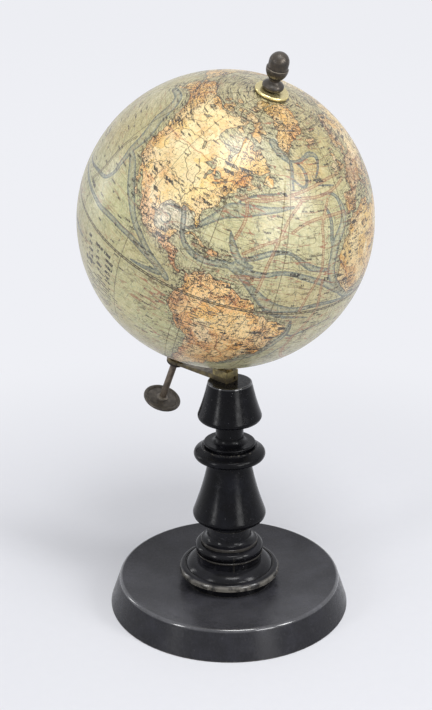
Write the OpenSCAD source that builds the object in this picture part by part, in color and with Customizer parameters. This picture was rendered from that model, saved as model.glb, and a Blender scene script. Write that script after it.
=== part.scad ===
// Terrestrial globe on a turned wooden stand. The origin is the centre of the base's underside.
// The globe's axis leans in the XZ plane, its north end towards +X.

/* [Globe] */
// Diameter over the paper
globe_d = 160; // [120:1:200]
// Room between the ball and the screws under it
ball_clear = 5; // [2:0.25:20]
// How far the globe's centre stands back from the column's axis
globe_shift = 3.6; // [0:0.2:8]
// Lean of the globe's axis from the vertical, in degrees
axis_tilt = 23.5; // [15:0.5:30]
// Thickness of the printed paper
paper_t = 0.25; // [0.15:0.05:0.6]
// Thickness of the plaster under the paper
plaster_t = 1.5; // [1:0.1:3]
// Thickness of the papier-mache hemispheres
shell_t = 3; // [2:0.25:6]
// Number of paper gores round the ball
gore_count = 12; // [8:1:24]
// Joint between neighbouring gores
gore_joint = 0.12; // [0.05:0.01:0.3]
// Angle from the pole to the edge of a polar paper cap, in degrees
cap_angle = 20; // [10:1:30]
// Half the height of the paper band pasted inside along the equator
strip_h = 8; // [4:0.5:14]
// Thickness of the band pasted inside along the equator
strip_t = 0.6; // [0.3:0.1:1.5]
// Diameter of the wooden strut inside the ball
strut_d = 20; // [18:0.5:26]
// Number of tacks at each pole
tack_count = 3; // [2:1:6]
// Diameter of a tack
tack_d = 1.3; // [0.8:0.1:1.6]
// Diameter of a tack's head
tack_head_d = 2.6; // [2:0.1:3]
// Thickness of a tack's head
tack_head_t = 0.4; // [0.2:0.1:0.6]
// How far a tack goes into the strut
tack_grip = 8; // [4:0.5:14]
// Distance from the axis to a tack
tack_ring_r = 6.4; // [5.8:0.1:7.2]

/* [Axle] */
// Diameter of the iron rod
rod_d = 4; // [3:0.1:5]
// Outer diameter of the bushes at the poles
bush_d = 7; // [6.4:0.1:8]
// Length of the bushes at the poles
bush_h = 12; // [8:0.5:20]
// Radius added to a bore that the rod turns in
run_clear = 0.05; // [0.02:0.01:0.1]
// Radius added to a bore that the rod passes without touching
pass_clear = 0.4; // [0.2:0.05:0.6]
// Play along the axis between pieces that turn on each other
end_play = 0.15; // [0.1:0.05:0.4]
// Outer diameter of the sleeve between arm and globe
sleeve_d = 6.6; // [6:0.1:9]
// Distance from the south pole to the arm's eye, along the axis
arm_gap = 18; // [10:0.5:26]
// Diameter of the brass rings at the poles
washer_d = 18; // [12:0.5:24]
// Thickness of the brass rings at the poles
washer_t = 1.6; // [0.8:0.1:3]
// Length of rod in view below the bush flange
rod_drop = 27.8; // [12:0.2:40]

/* [Finial] */
// Tilt of the rod's bent top end from the vertical, in degrees
stub_tilt = 21; // [16:0.5:26]
// Swing of the rod's bent top end out of the axis's plane, in degrees
stub_swing = -11; // [-24:1:24]
// Play between the north pole and the ring on it
washer_lift = 0.3; // [0.2:0.1:2]
// Diameter of the finial's foot bead
bead_foot_d = 11.3; // [9:0.1:14]
// Diameter of the finial's neck
finial_neck_d = 6; // [5.4:0.1:8]
// Diameter of the acorn's cup
cup_d = 11.5; // [9:0.1:15]
// Diameter of the acorn's nut
nut_d = 10.4; // [8:0.1:11.4]
// Height of the foot bead and neck
finial_foot_h = 5.2; // [4.6:0.1:9]
// Height of the acorn's cup
cup_h = 6.8; // [5:0.1:7]
// Radius of the cup's curved side
cup_curve = 7.2; // [7.1:0.1:9]
// Height of the acorn's nut above the cup
nut_h = 8.6; // [6:0.1:12]
// Depth of the hole for the rod in the finial
finial_hole_h = 9; // [6:0.5:11]

/* [Knob] */
// Diameter of the disc on the rod's lower end
knob_d = 22.4; // [14:0.2:30]
// Thickness of the disc
knob_t = 1.8; // [1.2:0.1:3]
// Radius of the rolled rim
knob_rim_r = 1.1; // [0.8:0.1:1.8]
// Diameter of the disc's boss round the rod
knob_boss_d = 7.4; // [6.4:0.1:11]
// Height of the disc's boss
knob_boss_h = 1.5; // [0.8:0.1:3]
// Thickness of the rod's riveted end below the disc
rivet_t = 0.8; // [0.4:0.1:1.6]

/* [Arm] */
// Width of the arm on the column
arm_w = 9; // [7:0.25:12]
// Width of the arm where it meets the eye
arm_tip_w = 6.4; // [5:0.2:8]
// Thickness of the arm on the column
arm_t = 2.9; // [2:0.1:4]
// Thickness of the arm where it meets the eye
arm_tip_t = 1.7; // [1.2:0.1:2.6]
// Diameter of the eye
eye_d = 10.8; // [10:0.1:14]
// Thickness of the eye
eye_t = 2; // [1.4:0.1:3]
// Outer diameter of the bush in the eye
eye_bush_d = 6.4; // [6:0.1:7]
// Diameter of the bush's flange
flange_d = 10.2; // [8.5:0.1:13]
// Thickness of the bush's flange
flange_t = 2; // [1:0.1:3]
// How far the arm reaches over the column's axis, to its near end
arm_lap = 2; // [1:0.25:4]
// Length of the block on the arm
block_l = 11; // [10:0.25:12]
// Height of the block on the arm
block_h = 3.6; // [2:0.1:4]
// Diameter of the arm's screws
screw_d = 2.6; // [2:0.1:3.2]
// Diameter of their heads
screw_head_d = 4.6; // [4:0.1:5]
// Thickness of their heads
screw_head_t = 1.1; // [0.8:0.1:1.6]
// Distance between the arm's two screws
screw_pitch = 5.6; // [5.3:0.1:6]
// How far the arm's screws go into the column
screw_grip = 12; // [6:0.5:16]

/* [Base] */
// Diameter at the underside
base_d = 139.6; // [120:1:180]
// Diameter at the top edge of the side
rim_d = 129.2; // [110:1:170]
// Height of the rim
base_h = 17.5; // [15:0.5:25]
// Depth of the dished top below the rim
dish_h = 3; // [1:0.25:4]
// Diameter of the flat middle of the dish
dish_flat_d = 60; // [58:1:80]
// Radius of the rim's worn edge
rim_round = 0.7; // [0.4:0.1:2]
// Thickness of wood under the tenon's socket
floor_t = 7; // [5:0.25:9]
// Diameter of the column's tenon
tenon_d = 16; // [12:0.5:20]
// Number of screws from beneath
base_screw_count = 3; // [2:1:6]
// Distance from the column's axis to a base screw
base_screw_ring_r = 17; // [15.5:0.25:18]
// Diameter of a base screw
base_screw_d = 4; // [3:0.1:5]
// Diameter of a base screw's head
base_head_d = 8; // [6.5:0.1:8.8]
// Thickness of a base screw's head
base_head_t = 2.2; // [1.6:0.1:3]
// How far a base screw goes into the foot
base_grip = 6; // [4:0.5:6.5]
// Diameter of a screw's pocket underneath
pocket_d = 9.5; // [9:0.25:12]
// Depth of a screw's pocket underneath
pocket_h = 4.4; // [4:0.2:6]

/* [Column foot] */
// Diameter of the spigot that stands in the dish
spigot_d = 50; // [44:0.5:54]
// Height of the spigot
spigot_h = 5.6; // [3:0.1:8]
// Diameter of the flange
foot_d = 58.4; // [56:0.2:70]
// Height of the flange
foot_h = 4.3; // [4:0.1:8]
// Radius of the flange's rounded shoulder
foot_round = 2.6; // [1:0.1:3]
// Diameter of the drum
drum_d = 37.8; // [34:0.2:44]
// Height of the drum
drum_h = 6.7; // [4:0.1:10]
// Diameter of the thin fillet above the drum
fillet_d = 39.2; // [38:0.2:48]
// Height of the thin fillet above the drum
fillet_h = 0.9; // [0.5:0.1:1.5]
// Diameter of the bead
bead_d = 39.6; // [36:0.2:48]
// Radius of the bead's section
bead_r = 3.3; // [2.4:0.1:4]
// Diameter of the bell's lip
lip_d = 33.2; // [31:0.2:36]
// Height of the bell's lip
lip_h = 1.1; // [0.8:0.1:2]
// Height of the bell
bell_h = 9.5; // [8:0.1:14]
// Diameter of the bell's top
bell_top_d = 25.8; // [24:0.2:28]

/* [Column shaft] */
// Diameter of the dark neck on the foot
neck_d = 24.6; // [22:0.2:26]
// Height of the dark neck on the foot
neck_h = 4; // [2:0.1:6]
// Greatest diameter of the vase
vase_d = 42.3; // [38:0.2:50]
// Diameter of the vase's top
vase_top_d = 24.9; // [22:0.2:28]
// Height of the vase
vase_h = 37.4; // [32:0.2:50]
// Radius of the vase's rounded bottom
vase_round = 3.55; // [2.5:0.05:5]
// How far the vase's side is hollowed
vase_hollow = 0.7; // [0:0.05:1.2]
// Diameter of the big ring
ring_d = 41; // [38:0.2:48]
// Height of the big ring
ring_h = 9.2; // [8.8:0.1:12]
// Radius of the big ring's edge
ring_round = 2.6; // [2:0.05:3]
// Height of the middle of the big ring's edge above the vase
ring_mid_h = 4.3; // [3.7:0.1:4.8]
// Diameter of the ledge on the ring
ledge_d = 32.4; // [30:0.2:34]
// Diameter of the cushion
cushion_d = 29.6; // [27:0.2:31]
// Height of the cushion and its cove
cushion_h = 5.4; // [5.2:0.1:8]
// Radius of the cove above the cushion
cove_r = 3; // [2:0.1:3.4]
// Diameter of the slim neck
slim_d = 15.8; // [14:0.2:18]
// Height of the slim neck
slim_h = 9; // [6:0.2:14]
// Greatest diameter of the cap
cap_d = 36.5; // [34:0.2:42]
// Diameter of the cap's top
cap_top_d = 25.2; // [25:0.2:30]
// Height of the cap
cap_h = 24.6; // [20:0.2:32]
// Radius of the cap's rounded bottom
cap_round = 2.4; // [1.6:0.05:3]
// How far the cap's side is hollowed
cap_hollow = 0.35; // [0:0.05:1]

/* [Hidden] */
$fn = 96;

// Glue line between pieces of one body, and the overlap that keeps a cut clean
glue = 0.05;
cut = 1;
// Worn edge on turned wood and on metal
edge = 0.4;
// Stretches that a hollowed side is turned in
side_steps = 6;

// Levels of the stand, from the table up
dish_z = base_h - dish_h;
flange_z = dish_z + spigot_h;
drum_z = flange_z + foot_h;
fillet_z = drum_z + drum_h;
bead_z = fillet_z + fillet_h + bead_r;
groove_z = bead_z + bead_r;
lip_z = groove_z + edge;
joint_z = lip_z + lip_h + bell_h;
vase_z = joint_z + neck_h;
ring_z = vase_z + vase_h;
cushion_z = ring_z + ring_h;
slim_z = cushion_z + cushion_h;
cap_z = slim_z + slim_h;
top_z = cap_z + cap_h;
socket_z = floor_t;

// The globe's layers, each with its outer radius
paper_r = globe_d / 2;
plaster_r = paper_r - paper_t - glue;
shell_r = plaster_r - plaster_t - glue;
inner_r = shell_r - shell_t;
strip_r = inner_r - glue;
strut_end_r = inner_r - glue;
globe_z = top_z + arm_t + block_h + screw_head_t + ball_clear + paper_r;

// Places along the globe's axis, counted from its centre
eye_top = -paper_r - arm_gap;
flange_top = eye_top - eye_t;
flange_bottom = flange_top - flange_t;
knob_top = flange_bottom - rod_drop;
south_washer_top = -paper_r - end_play;
rod_r = rod_d / 2;
stub_r = rod_r * 0.94;
bend_sink = 0.2;
run_r = rod_r + run_clear;
pass_r = rod_r + pass_clear;

// The finial's foot bead, and how far up the bent end it sits, clear of the flat ring
foot_bead_r = finial_foot_h * 0.36;
foot_flat_r = bead_foot_d / 2 - foot_bead_r;
stub_bend = acos(sin(axis_tilt) * sin(stub_tilt) * cos(stub_swing) + cos(axis_tilt) * cos(stub_tilt));
finial_lift = (washer_lift + washer_t + glue) / cos(stub_bend) + foot_flat_r * tan(stub_bend);

// The arm's eye in the stand's frame, and the point where the strip joins it
eye_mid = eye_top - eye_t / 2;
eye_x = -globe_shift + eye_mid * sin(axis_tilt);
eye_z = globe_z + eye_mid * cos(axis_tilt);
join_r = (eye_bush_d / 2 + eye_d / 2) / 2;
join_x = eye_x + join_r * cos(axis_tilt);
join_z = eye_z - join_r * sin(axis_tilt);
arm_bend = arm_lap - block_l - arm_t;
block_mid = arm_lap - block_l / 2;
notch = 1;

// A point on a round in a turned outline
function on_round(centre, r, angle) = centre + r * [cos(angle), sin(angle)];

// The points of a side hollowed between two ends of a turned outline
function hollow_side(from, to, depth) = [for (i = [0 : side_steps])
    from + (to - from) * i / side_steps - [depth * 4 * i * (side_steps - i) / pow(side_steps, 2), 0]];

// Places children on the globe's axis, with its centre as their origin
module on_axis() translate([-globe_shift, 0, globe_z]) rotate([0, axis_tilt, 0]) children();

// Places children on the bent end of the rod, with the north pole as their origin
module on_stub()
    translate([-globe_shift + paper_r * sin(axis_tilt), 0, globe_z + paper_r * cos(axis_tilt)])
        rotate([0, stub_tilt, stub_swing]) children();

// A ring with worn edges: outer and inner radius and thickness
module washer(outer_r, inner_r, t) {
    bevel = min(edge, t / 4);
    rotate_extrude() polygon([
        [inner_r, 0], [outer_r - bevel, 0], [outer_r, bevel], [outer_r, t - bevel],
        [outer_r - bevel, t], [inner_r, t]]);
}

// A spherical layer between two radii, cut to the band between two angles from the north pole
module layer_profile(outer_r, inner_r, from_angle, to_angle) {
    reach = outer_r * 2;
    mid_angle = (from_angle + to_angle) / 2;
    intersection() {
        difference() {
            circle(r = outer_r, $fn = 180);
            circle(r = inner_r, $fn = 180);
        }
        polygon([
            [0, 0], reach * [sin(from_angle), cos(from_angle)],
            reach * [sin(mid_angle), cos(mid_angle)], reach * [sin(to_angle), cos(to_angle)]]);
    }
}

// The hole at both poles for the bushes
module pole_holes() cylinder(r = bush_d / 2 + glue, h = globe_d + cut * 2, center = true);

// Places children at each tack of the pole that faces up
module each_tack() for (i = [0 : tack_count - 1]) rotate(i * 360 / tack_count)
    translate([tack_ring_r, 0, 0]) children();

tack_seat = sqrt(pow(shell_r, 2) - pow(tack_ring_r + tack_head_d / 2, 2)) - tack_head_t;

// The cut for a pole's tacks through the shell, or into the strut
module tack_cuts() each_tack() {
    translate([0, 0, tack_seat - glue]) cylinder(r = tack_head_d / 2 + glue, h = shell_t);
    translate([0, 0, strut_end_r - tack_grip - glue])
        cylinder(r = tack_d / 2 + glue, h = tack_grip + shell_t);
}

// Stand

module base_plinth() color([0.10, 0.10, 0.11]) difference() {
    rim_r = rim_d / 2;
    dish_r = dish_flat_d / 2;
    dish_w = rim_r - rim_round - dish_r;
    arc_r = (pow(dish_w, 2) + pow(dish_h, 2)) / (2 * dish_h);
    rotate_extrude($fn = 180) difference() {
        union() {
            polygon([
                [0, 0], [base_d / 2 - edge, 0], [base_d / 2, edge],
                [rim_r, base_h - rim_round], [rim_r - rim_round, base_h - rim_round],
                [rim_r - rim_round, base_h], [0, base_h]]);
            translate([rim_r - rim_round, base_h - rim_round]) circle(r = rim_round);
        }
        // The dished top: a flat middle and a long arc up to the rim
        translate([-cut, dish_z]) square([dish_r + cut, base_h]);
        intersection() {
            translate([dish_r, dish_z + arc_r]) circle(r = arc_r, $fn = 360);
            translate([dish_r, dish_z]) square([dish_w, base_h]);
        }
        translate([-cut, socket_z]) square([tenon_d / 2 + glue + cut, base_h]);
    }
    each_base_screw() {
        translate([0, 0, -cut]) cylinder(d = pocket_d, h = pocket_h + cut);
        translate([0, 0, -cut]) cylinder(r = base_screw_d / 2 + glue, h = base_h);
    }
}

// Places children at each of the screws from beneath
module each_base_screw() for (i = [0 : base_screw_count - 1]) rotate(i * 360 / base_screw_count)
    translate([base_screw_ring_r, 0, 0]) children();

module base_screws() color([0.40, 0.38, 0.36]) each_base_screw() {
    head_z = pocket_h - glue - base_head_t;
    slot_w = base_head_d / 8;
    difference() {
        union() {
            translate([0, 0, head_z]) cylinder(d = base_head_d, h = base_head_t);
            translate([0, 0, head_z]) cylinder(d = base_screw_d, h = dish_z - head_z + base_grip);
        }
        translate([-base_head_d, -slot_w / 2, head_z - cut])
            cube([base_head_d * 2, slot_w, cut + base_head_t / 2]);
    }
}

module column_foot() color([0.12, 0.12, 0.13]) {
    foot_r = foot_d / 2;
    bead_mid_r = bead_d / 2 - bead_r;
    lip_r = lip_d / 2;
    bell_r = bell_top_d / 2;
    cove = lip_r - edge - bell_r;
    difference() {
        rotate_extrude($fn = 144) difference() {
            union() {
                polygon([
                    [0, dish_z], [spigot_d / 2, dish_z], [spigot_d / 2, flange_z],
                    [foot_r - edge, flange_z], [foot_r, flange_z + edge],
                    [foot_r, drum_z - foot_round], [foot_r - foot_round, drum_z - foot_round],
                    [foot_r - foot_round, drum_z], [foot_r - foot_round - edge, drum_z],
                    [foot_r - foot_round - edge, drum_z - edge], [drum_d / 2, drum_z - edge],
                    [drum_d / 2, fillet_z],
                    [fillet_d / 2 - edge / 2, fillet_z], [fillet_d / 2, fillet_z + edge / 2],
                    [fillet_d / 2, bead_z - bead_r - edge / 2], [fillet_d / 2 - edge / 2, bead_z - bead_r],
                    [bead_mid_r, bead_z - bead_r], [bead_mid_r, groove_z],
                    [lip_r - edge, groove_z], [lip_r - edge, lip_z], [lip_r, lip_z],
                    [lip_r, lip_z + lip_h], [lip_r - edge, lip_z + lip_h + edge],
                    [bell_r, lip_z + lip_h + edge], [neck_d / 2 + edge, joint_z], [0, joint_z]]);
                translate([foot_r - foot_round, drum_z - foot_round]) circle(r = foot_round);
                translate([bead_mid_r, bead_z]) circle(r = bead_r);
                // The bell's cove, filled in beside its wall
                difference() {
                    translate([bell_r - edge, lip_z + lip_h + edge]) square([cove + edge, cove]);
                    translate([bell_r + cove, lip_z + lip_h + edge + cove]) circle(r = cove);
                }
            }
            translate([-cut, 0]) square([tenon_d / 2 + glue + cut, top_z]);
        }
        each_base_screw() translate([0, 0, dish_z - cut])
            cylinder(r = base_screw_d / 2 + glue, h = base_grip + cut + glue);
    }
}

module column_shaft() color([0.10, 0.10, 0.12]) {
    neck_r = neck_d / 2;
    vase_r = vase_d / 2;
    vase_top_r = vase_top_d / 2;
    ledge_r = ledge_d / 2;
    cushion_r = cushion_d / 2;
    slim_r = slim_d / 2;
    cap_top_r = cap_top_d / 2;
    // Depth of the hollows turned under vase and cap, and heights of the collar and the cushion's lip
    under = 0.4;
    cap_under = 1.7;
    collar_w = 1.8;
    collar_h = 0.9;
    lip = 0.8;
    cove_z = cushion_z + lip * 3;
    // Centres of the rounded edges, and the angle at which the sides leave them
    vase_at = [vase_r - vase_round, vase_z + under + vase_round];
    ring_at = [ring_d / 2 - ring_round, ring_z + ring_mid_h];
    cap_at = [cap_d / 2 - cap_round, cap_z + cap_under + cap_round];
    leave_angle = 17;
    difference() {
        rotate_extrude($fn = 144) union() {
            polygon(concat(
                [[0, socket_z + glue], [tenon_d / 2, socket_z + glue], [tenon_d / 2, joint_z],
                 [neck_r, joint_z], [neck_r, vase_z - under], [vase_at[0], vase_z],
                 [vase_at[0], vase_at[1] - vase_round], vase_at],
                hollow_side(on_round(vase_at, vase_round, leave_angle),
                            [vase_top_r, ring_z - collar_w], vase_hollow),
                [[vase_top_r + edge, ring_z], [vase_top_r + collar_w, ring_z + edge],
                 [vase_top_r + collar_w, ring_z + collar_h],
                 on_round(ring_at, ring_round, -90), ring_at, on_round(ring_at, ring_round, 60),
                 [ledge_r, cushion_z - edge * 3], [ledge_r, cushion_z - edge], [ledge_r - edge, cushion_z],
                 [cushion_r - lip * 2, cushion_z], [cushion_r - lip * 2, cushion_z + lip],
                 [cushion_r - lip, cushion_z + lip], [cushion_r - lip, cove_z],
                 [slim_r, cove_z], [slim_r, cap_z], [slim_r + edge * 2, cap_z + edge * 2],
                 on_round(cap_at, cap_round, -90), cap_at],
                hollow_side(on_round(cap_at, cap_round, leave_angle), [cap_top_r, top_z - edge], cap_hollow),
                [[cap_top_r - edge, top_z], [0, top_z]]));
            translate(vase_at) circle(r = vase_round);
            translate(ring_at) circle(r = ring_round);
            translate([cushion_r - lip, cushion_z + lip * 2]) circle(r = lip);
            // The cove from the cushion up into the slim neck
            difference() {
                translate([slim_r - edge, cove_z]) square([cove_r + edge, cove_r]);
                translate([slim_r + cove_r, cove_z + cove_r]) circle(r = cove_r);
            }
            translate(cap_at) circle(r = cap_round);
        }
        each_screw() translate([0, 0, top_z - screw_grip - glue])
            cylinder(r = screw_d / 2 + glue, h = screw_grip + cut);
    }
}

// Places children at the arm's two screws
module each_screw() for (side = [-1, 1]) translate([block_mid + side * screw_pitch / 2, 0, 0]) children();

module arm() color([0.42, 0.37, 0.20]) difference() {
    union() {
        // The strip's side outline, cut to its plan
        intersection() {
            rotate([90, 0, 0]) linear_extrude(arm_w, center = true) polygon([
                [arm_lap, top_z], [arm_lap, top_z + arm_t], [arm_bend, top_z + arm_t],
                [join_x, join_z + arm_tip_t / 2], [join_x, join_z - arm_tip_t / 2],
                [-cap_top_d / 2, top_z]]);
            translate([0, 0, top_z - paper_r]) linear_extrude(globe_d) polygon([
                [arm_lap, -arm_w / 2], [arm_lap, arm_w / 2], [arm_bend, arm_w / 2],
                [join_x, arm_tip_w / 2], [join_x, -arm_tip_w / 2], [arm_bend, -arm_w / 2]]);
        }
        on_axis() translate([0, 0, eye_top - eye_t]) cylinder(d = eye_d, h = eye_t);
    }
    on_axis() translate([0, 0, eye_top - eye_t - cut])
        cylinder(r = eye_bush_d / 2 + glue, h = eye_t + cut + arm_gap / 2);
    each_screw() translate([0, 0, top_z - cut]) cylinder(r = screw_d / 2 + glue, h = arm_t + cut * 2);
    // The notch filed in the near end
    translate([arm_lap - notch, notch, top_z + notch]) cube([notch * 2, notch * 1.5, arm_t]);
}

module arm_block() color([0.46, 0.40, 0.22]) difference() {
    translate([arm_lap - block_l, -arm_w / 2, top_z + arm_t]) cube([block_l, arm_w, block_h]);
    each_screw() translate([0, 0, top_z]) cylinder(r = screw_d / 2 + glue, h = arm_t + block_h + cut);
}

module arm_screws() color([0.34, 0.30, 0.20]) each_screw() difference() {
    seat_z = top_z + arm_t + block_h;
    slot_w = screw_head_d / 7;
    union() {
        translate([0, 0, seat_z]) cylinder(d = screw_head_d, h = screw_head_t);
        translate([0, 0, top_z - screw_grip]) cylinder(d = screw_d, h = seat_z - top_z + screw_grip + glue);
    }
    translate([-screw_head_d, -slot_w / 2, seat_z + screw_head_t / 2])
        cube([screw_head_d * 2, slot_w, screw_head_t]);
}

module arm_bush() color([0.16, 0.13, 0.11]) on_axis() rotate_extrude() polygon([
    [run_r, flange_bottom], [flange_d / 2 - edge, flange_bottom], [flange_d / 2, flange_bottom + edge],
    [flange_d / 2, flange_top - edge], [flange_d / 2 - edge, flange_top],
    [eye_bush_d / 2, flange_top], [eye_bush_d / 2, eye_top], [run_r, eye_top]]);

// Axle

module axle_rod() color([0.30, 0.20, 0.14]) {
    rivet_bottom = knob_top - knob_t - rivet_t;
    on_axis() {
        translate([0, 0, rivet_bottom]) cylinder(r = rod_r, h = paper_r - rivet_bottom);
        translate([0, 0, rivet_bottom]) cylinder(r = rod_r * 1.5, h = rivet_t);
    }
    // The bent threaded end, turned down a little
    on_stub() translate([0, 0, -bend_sink])
        cylinder(r = stub_r, h = bend_sink + finial_lift + finial_hole_h - end_play);
}

module knob_disc() color([0.14, 0.12, 0.11]) on_axis() translate([0, 0, knob_top - knob_t])
    rotate_extrude() difference() {
        union() {
            polygon([
                [0, 0], [knob_d / 2 - knob_rim_r, 0], [knob_d / 2 - knob_rim_r, knob_t],
                [knob_boss_d / 2, knob_t], [rod_r, knob_t + knob_boss_h], [0, knob_t + knob_boss_h]]);
            translate([knob_d / 2 - knob_rim_r, knob_t / 2 + knob_rim_r * 0.25]) circle(r = knob_rim_r);
        }
        translate([-cut, -cut]) square([rod_r + glue + cut, knob_t + knob_boss_h + cut * 2]);
    }

module spacer_sleeve() color([0.50, 0.42, 0.22]) on_axis() difference() {
    sleeve_h = south_washer_top - washer_t - glue - eye_top - end_play;
    translate([0, 0, eye_top + end_play]) cylinder(d = sleeve_d, h = sleeve_h);
    translate([0, 0, eye_top - cut]) cylinder(r = pass_r, h = sleeve_h + cut * 3);
}

module south_washer() color([0.72, 0.60, 0.28])
    on_axis() translate([0, 0, south_washer_top - washer_t]) washer(washer_d / 2, pass_r, washer_t);

module north_washer() color([0.80, 0.70, 0.36])
    on_axis() translate([0, 0, paper_r + washer_lift]) washer(washer_d / 2, pass_r, washer_t);

module finial() color([0.17, 0.14, 0.12]) on_stub() translate([0, 0, finial_lift]) {
    neck_r = finial_neck_d / 2;
    cup_r = cup_d / 2;
    nut_r = nut_d / 2;
    cup_z = finial_foot_h;
    nut_z = cup_z + cup_h;
    foot_at = [foot_flat_r, foot_bead_r];
    rotate_extrude() difference() {
        union() {
            translate(foot_at) circle(r = foot_bead_r);
            polygon([
                [0, 0], [foot_at[0], 0], foot_at, on_round(foot_at, foot_bead_r, 45),
                [neck_r + edge * 3, cup_z - edge * 4], [neck_r, cup_z - edge * 2], [neck_r, cup_z],
                [neck_r, nut_z], [nut_r, nut_z], [nut_r, nut_z + nut_h - nut_r], [0, nut_z + nut_h - nut_r]]);
            // The cup's curved side, and the nut's round top
            intersection() {
                translate([cup_r - cup_curve, nut_z - edge]) circle(r = cup_curve);
                translate([0, cup_z]) square([cup_r, cup_h]);
            }
            intersection() {
                translate([0, nut_z + nut_h - nut_r]) circle(r = nut_r);
                translate([0, nut_z]) square([nut_r, nut_h]);
            }
        }
        translate([-cut, -cut]) square([stub_r + glue + cut, finial_hole_h + cut]);
    }
}

// Globe

module center_strut() color([0.72, 0.56, 0.36]) on_axis() difference() {
    intersection() {
        cylinder(d = strut_d, h = globe_d, center = true);
        sphere(r = strut_end_r);
    }
    cylinder(r = pass_r, h = globe_d, center = true);
    for (end = [0, 1]) mirror([0, 0, end]) {
        translate([0, 0, paper_r - bush_h - glue]) cylinder(r = bush_d / 2 + glue, h = bush_h);
        tack_cuts();
    }
}

module bush() difference() {
    translate([0, 0, paper_r - bush_h]) cylinder(d = bush_d, h = bush_h);
    translate([0, 0, paper_r - bush_h - cut]) cylinder(r = run_r, h = bush_h + cut * 2);
}

module north_bush() color([0.62, 0.52, 0.26]) on_axis() bush();

module south_bush() color([0.62, 0.52, 0.26]) on_axis() mirror([0, 0, 1]) bush();

module pole_tacks() color([0.32, 0.30, 0.28]) on_axis()
    for (end = [0, 1]) mirror([0, 0, end]) each_tack() {
        translate([0, 0, tack_seat]) cylinder(d = tack_head_d, h = tack_head_t);
        translate([0, 0, strut_end_r - tack_grip])
            cylinder(d = tack_d, h = tack_seat - strut_end_r + tack_grip + glue);
    }

module hemisphere() difference() {
    rotate_extrude($fn = 180) difference() {
        layer_profile(shell_r, inner_r, 0, 90);
        translate([0, -glue / 2]) square([shell_r + cut, glue]);
    }
    pole_holes();
    tack_cuts();
}

module shell_north() color([0.66, 0.60, 0.48]) on_axis() hemisphere();

module shell_south() color([0.66, 0.60, 0.48]) on_axis() mirror([0, 0, 1]) hemisphere();

module joint_strip() color([0.80, 0.76, 0.64]) on_axis() rotate_extrude($fn = 180) intersection() {
    layer_profile(strip_r, strip_r - strip_t, 0, 180);
    translate([0, -strip_h]) square([paper_r, strip_h * 2]);
}

module plaster_coat() color([0.90, 0.89, 0.84]) on_axis() difference() {
    rotate_extrude($fn = 180) layer_profile(plaster_r, plaster_r - plaster_t, 0, 180);
    pole_holes();
}

module paper_gores() color([0.66, 0.68, 0.52]) on_axis() {
    gore_angle = 360 / gore_count - gore_joint / paper_r * 180 / PI;
    for (i = [0 : gore_count - 1]) rotate(i * 360 / gore_count)
        rotate_extrude(angle = gore_angle, $fn = 180)
            layer_profile(paper_r, paper_r - paper_t, cap_angle, 180 - cap_angle);
}

module polar_cap() difference() {
    joint_angle = gore_joint / paper_r * 180 / PI;
    rotate_extrude($fn = 180) layer_profile(paper_r, paper_r - paper_t, 0, cap_angle - joint_angle);
    pole_holes();
}

module polar_cap_north() color([0.74, 0.70, 0.50]) on_axis() polar_cap();

module polar_cap_south() color([0.66, 0.68, 0.54]) on_axis() mirror([0, 0, 1]) polar_cap();

base_plinth();
base_screws();
column_foot();
column_shaft();
arm();
arm_block();
arm_screws();
arm_bush();
axle_rod();
knob_disc();
spacer_sleeve();
south_washer();
north_washer();
finial();
center_strut();
north_bush();
south_bush();
pole_tacks();
shell_north();
shell_south();
joint_strip();
plaster_coat();
paper_gores();
polar_cap_north();
polar_cap_south();
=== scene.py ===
# %% [markdown]
# # An old terrestrial globe on a turned stand
# The object is a small table globe: a paper map pasted in twelve gores over a plaster ball,
# an iron rod through it at the slant of the Earth's axis, a brass arm that holds the rod from
# below, and a turned and blackened wooden stand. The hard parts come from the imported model.
# This script dresses them: it rebuilds the turned and papered surfaces finely and gives every
# piece, also the hidden ones, its own finish.

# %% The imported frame
import math

import bmesh
import bpy
import numpy as np
from mathutils import Matrix, Vector


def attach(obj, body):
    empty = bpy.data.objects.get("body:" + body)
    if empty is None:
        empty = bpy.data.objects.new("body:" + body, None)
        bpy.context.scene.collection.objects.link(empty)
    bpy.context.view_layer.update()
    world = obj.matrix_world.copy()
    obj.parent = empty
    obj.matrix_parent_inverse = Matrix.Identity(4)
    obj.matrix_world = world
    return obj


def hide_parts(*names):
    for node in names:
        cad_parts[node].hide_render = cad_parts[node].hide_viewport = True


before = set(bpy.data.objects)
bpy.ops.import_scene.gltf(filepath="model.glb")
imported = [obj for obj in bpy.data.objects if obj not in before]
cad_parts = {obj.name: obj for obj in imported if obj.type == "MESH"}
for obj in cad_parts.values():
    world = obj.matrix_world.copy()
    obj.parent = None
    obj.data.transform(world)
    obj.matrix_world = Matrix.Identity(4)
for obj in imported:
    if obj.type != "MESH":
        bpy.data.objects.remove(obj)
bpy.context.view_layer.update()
MM = 0.001

# %% [markdown]
# ## Camera
# A real camera stood a little above the globe's middle and looked down at about 21 degrees.
# The lens belongs to the long side of the picture, so a portrait frame of 432 by 710 pixels
# with this lens shows the object exactly as large as the photograph does.

# %% Camera
camera_data = bpy.data.cameras.new("camera")
camera_data.lens = 73.31
camera_data.sensor_width = 36.0
camera_data.clip_start = 0.01
look_down, look_round = math.radians(21.44), math.radians(44.51)
camera = bpy.data.objects.new("camera", camera_data)
camera.location = (0.5195, -0.5395, 0.449)
camera.rotation_euler = (math.pi / 2 - look_down, 0, look_round)
bpy.context.scene.collection.objects.link(camera)
bpy.context.scene.camera = camera
bpy.context.scene.view_settings.view_transform = "Standard"
print("camera lens:", camera_data.lens)

# %% [markdown]
# ## Node helpers
# A finish is a small network of nodes. Adding nodes one by one in code gets long, so `put`
# makes a node and fills its inputs, and `calc`, `times` and `step` do sums, products and soft
# steps from one value to another.

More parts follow.
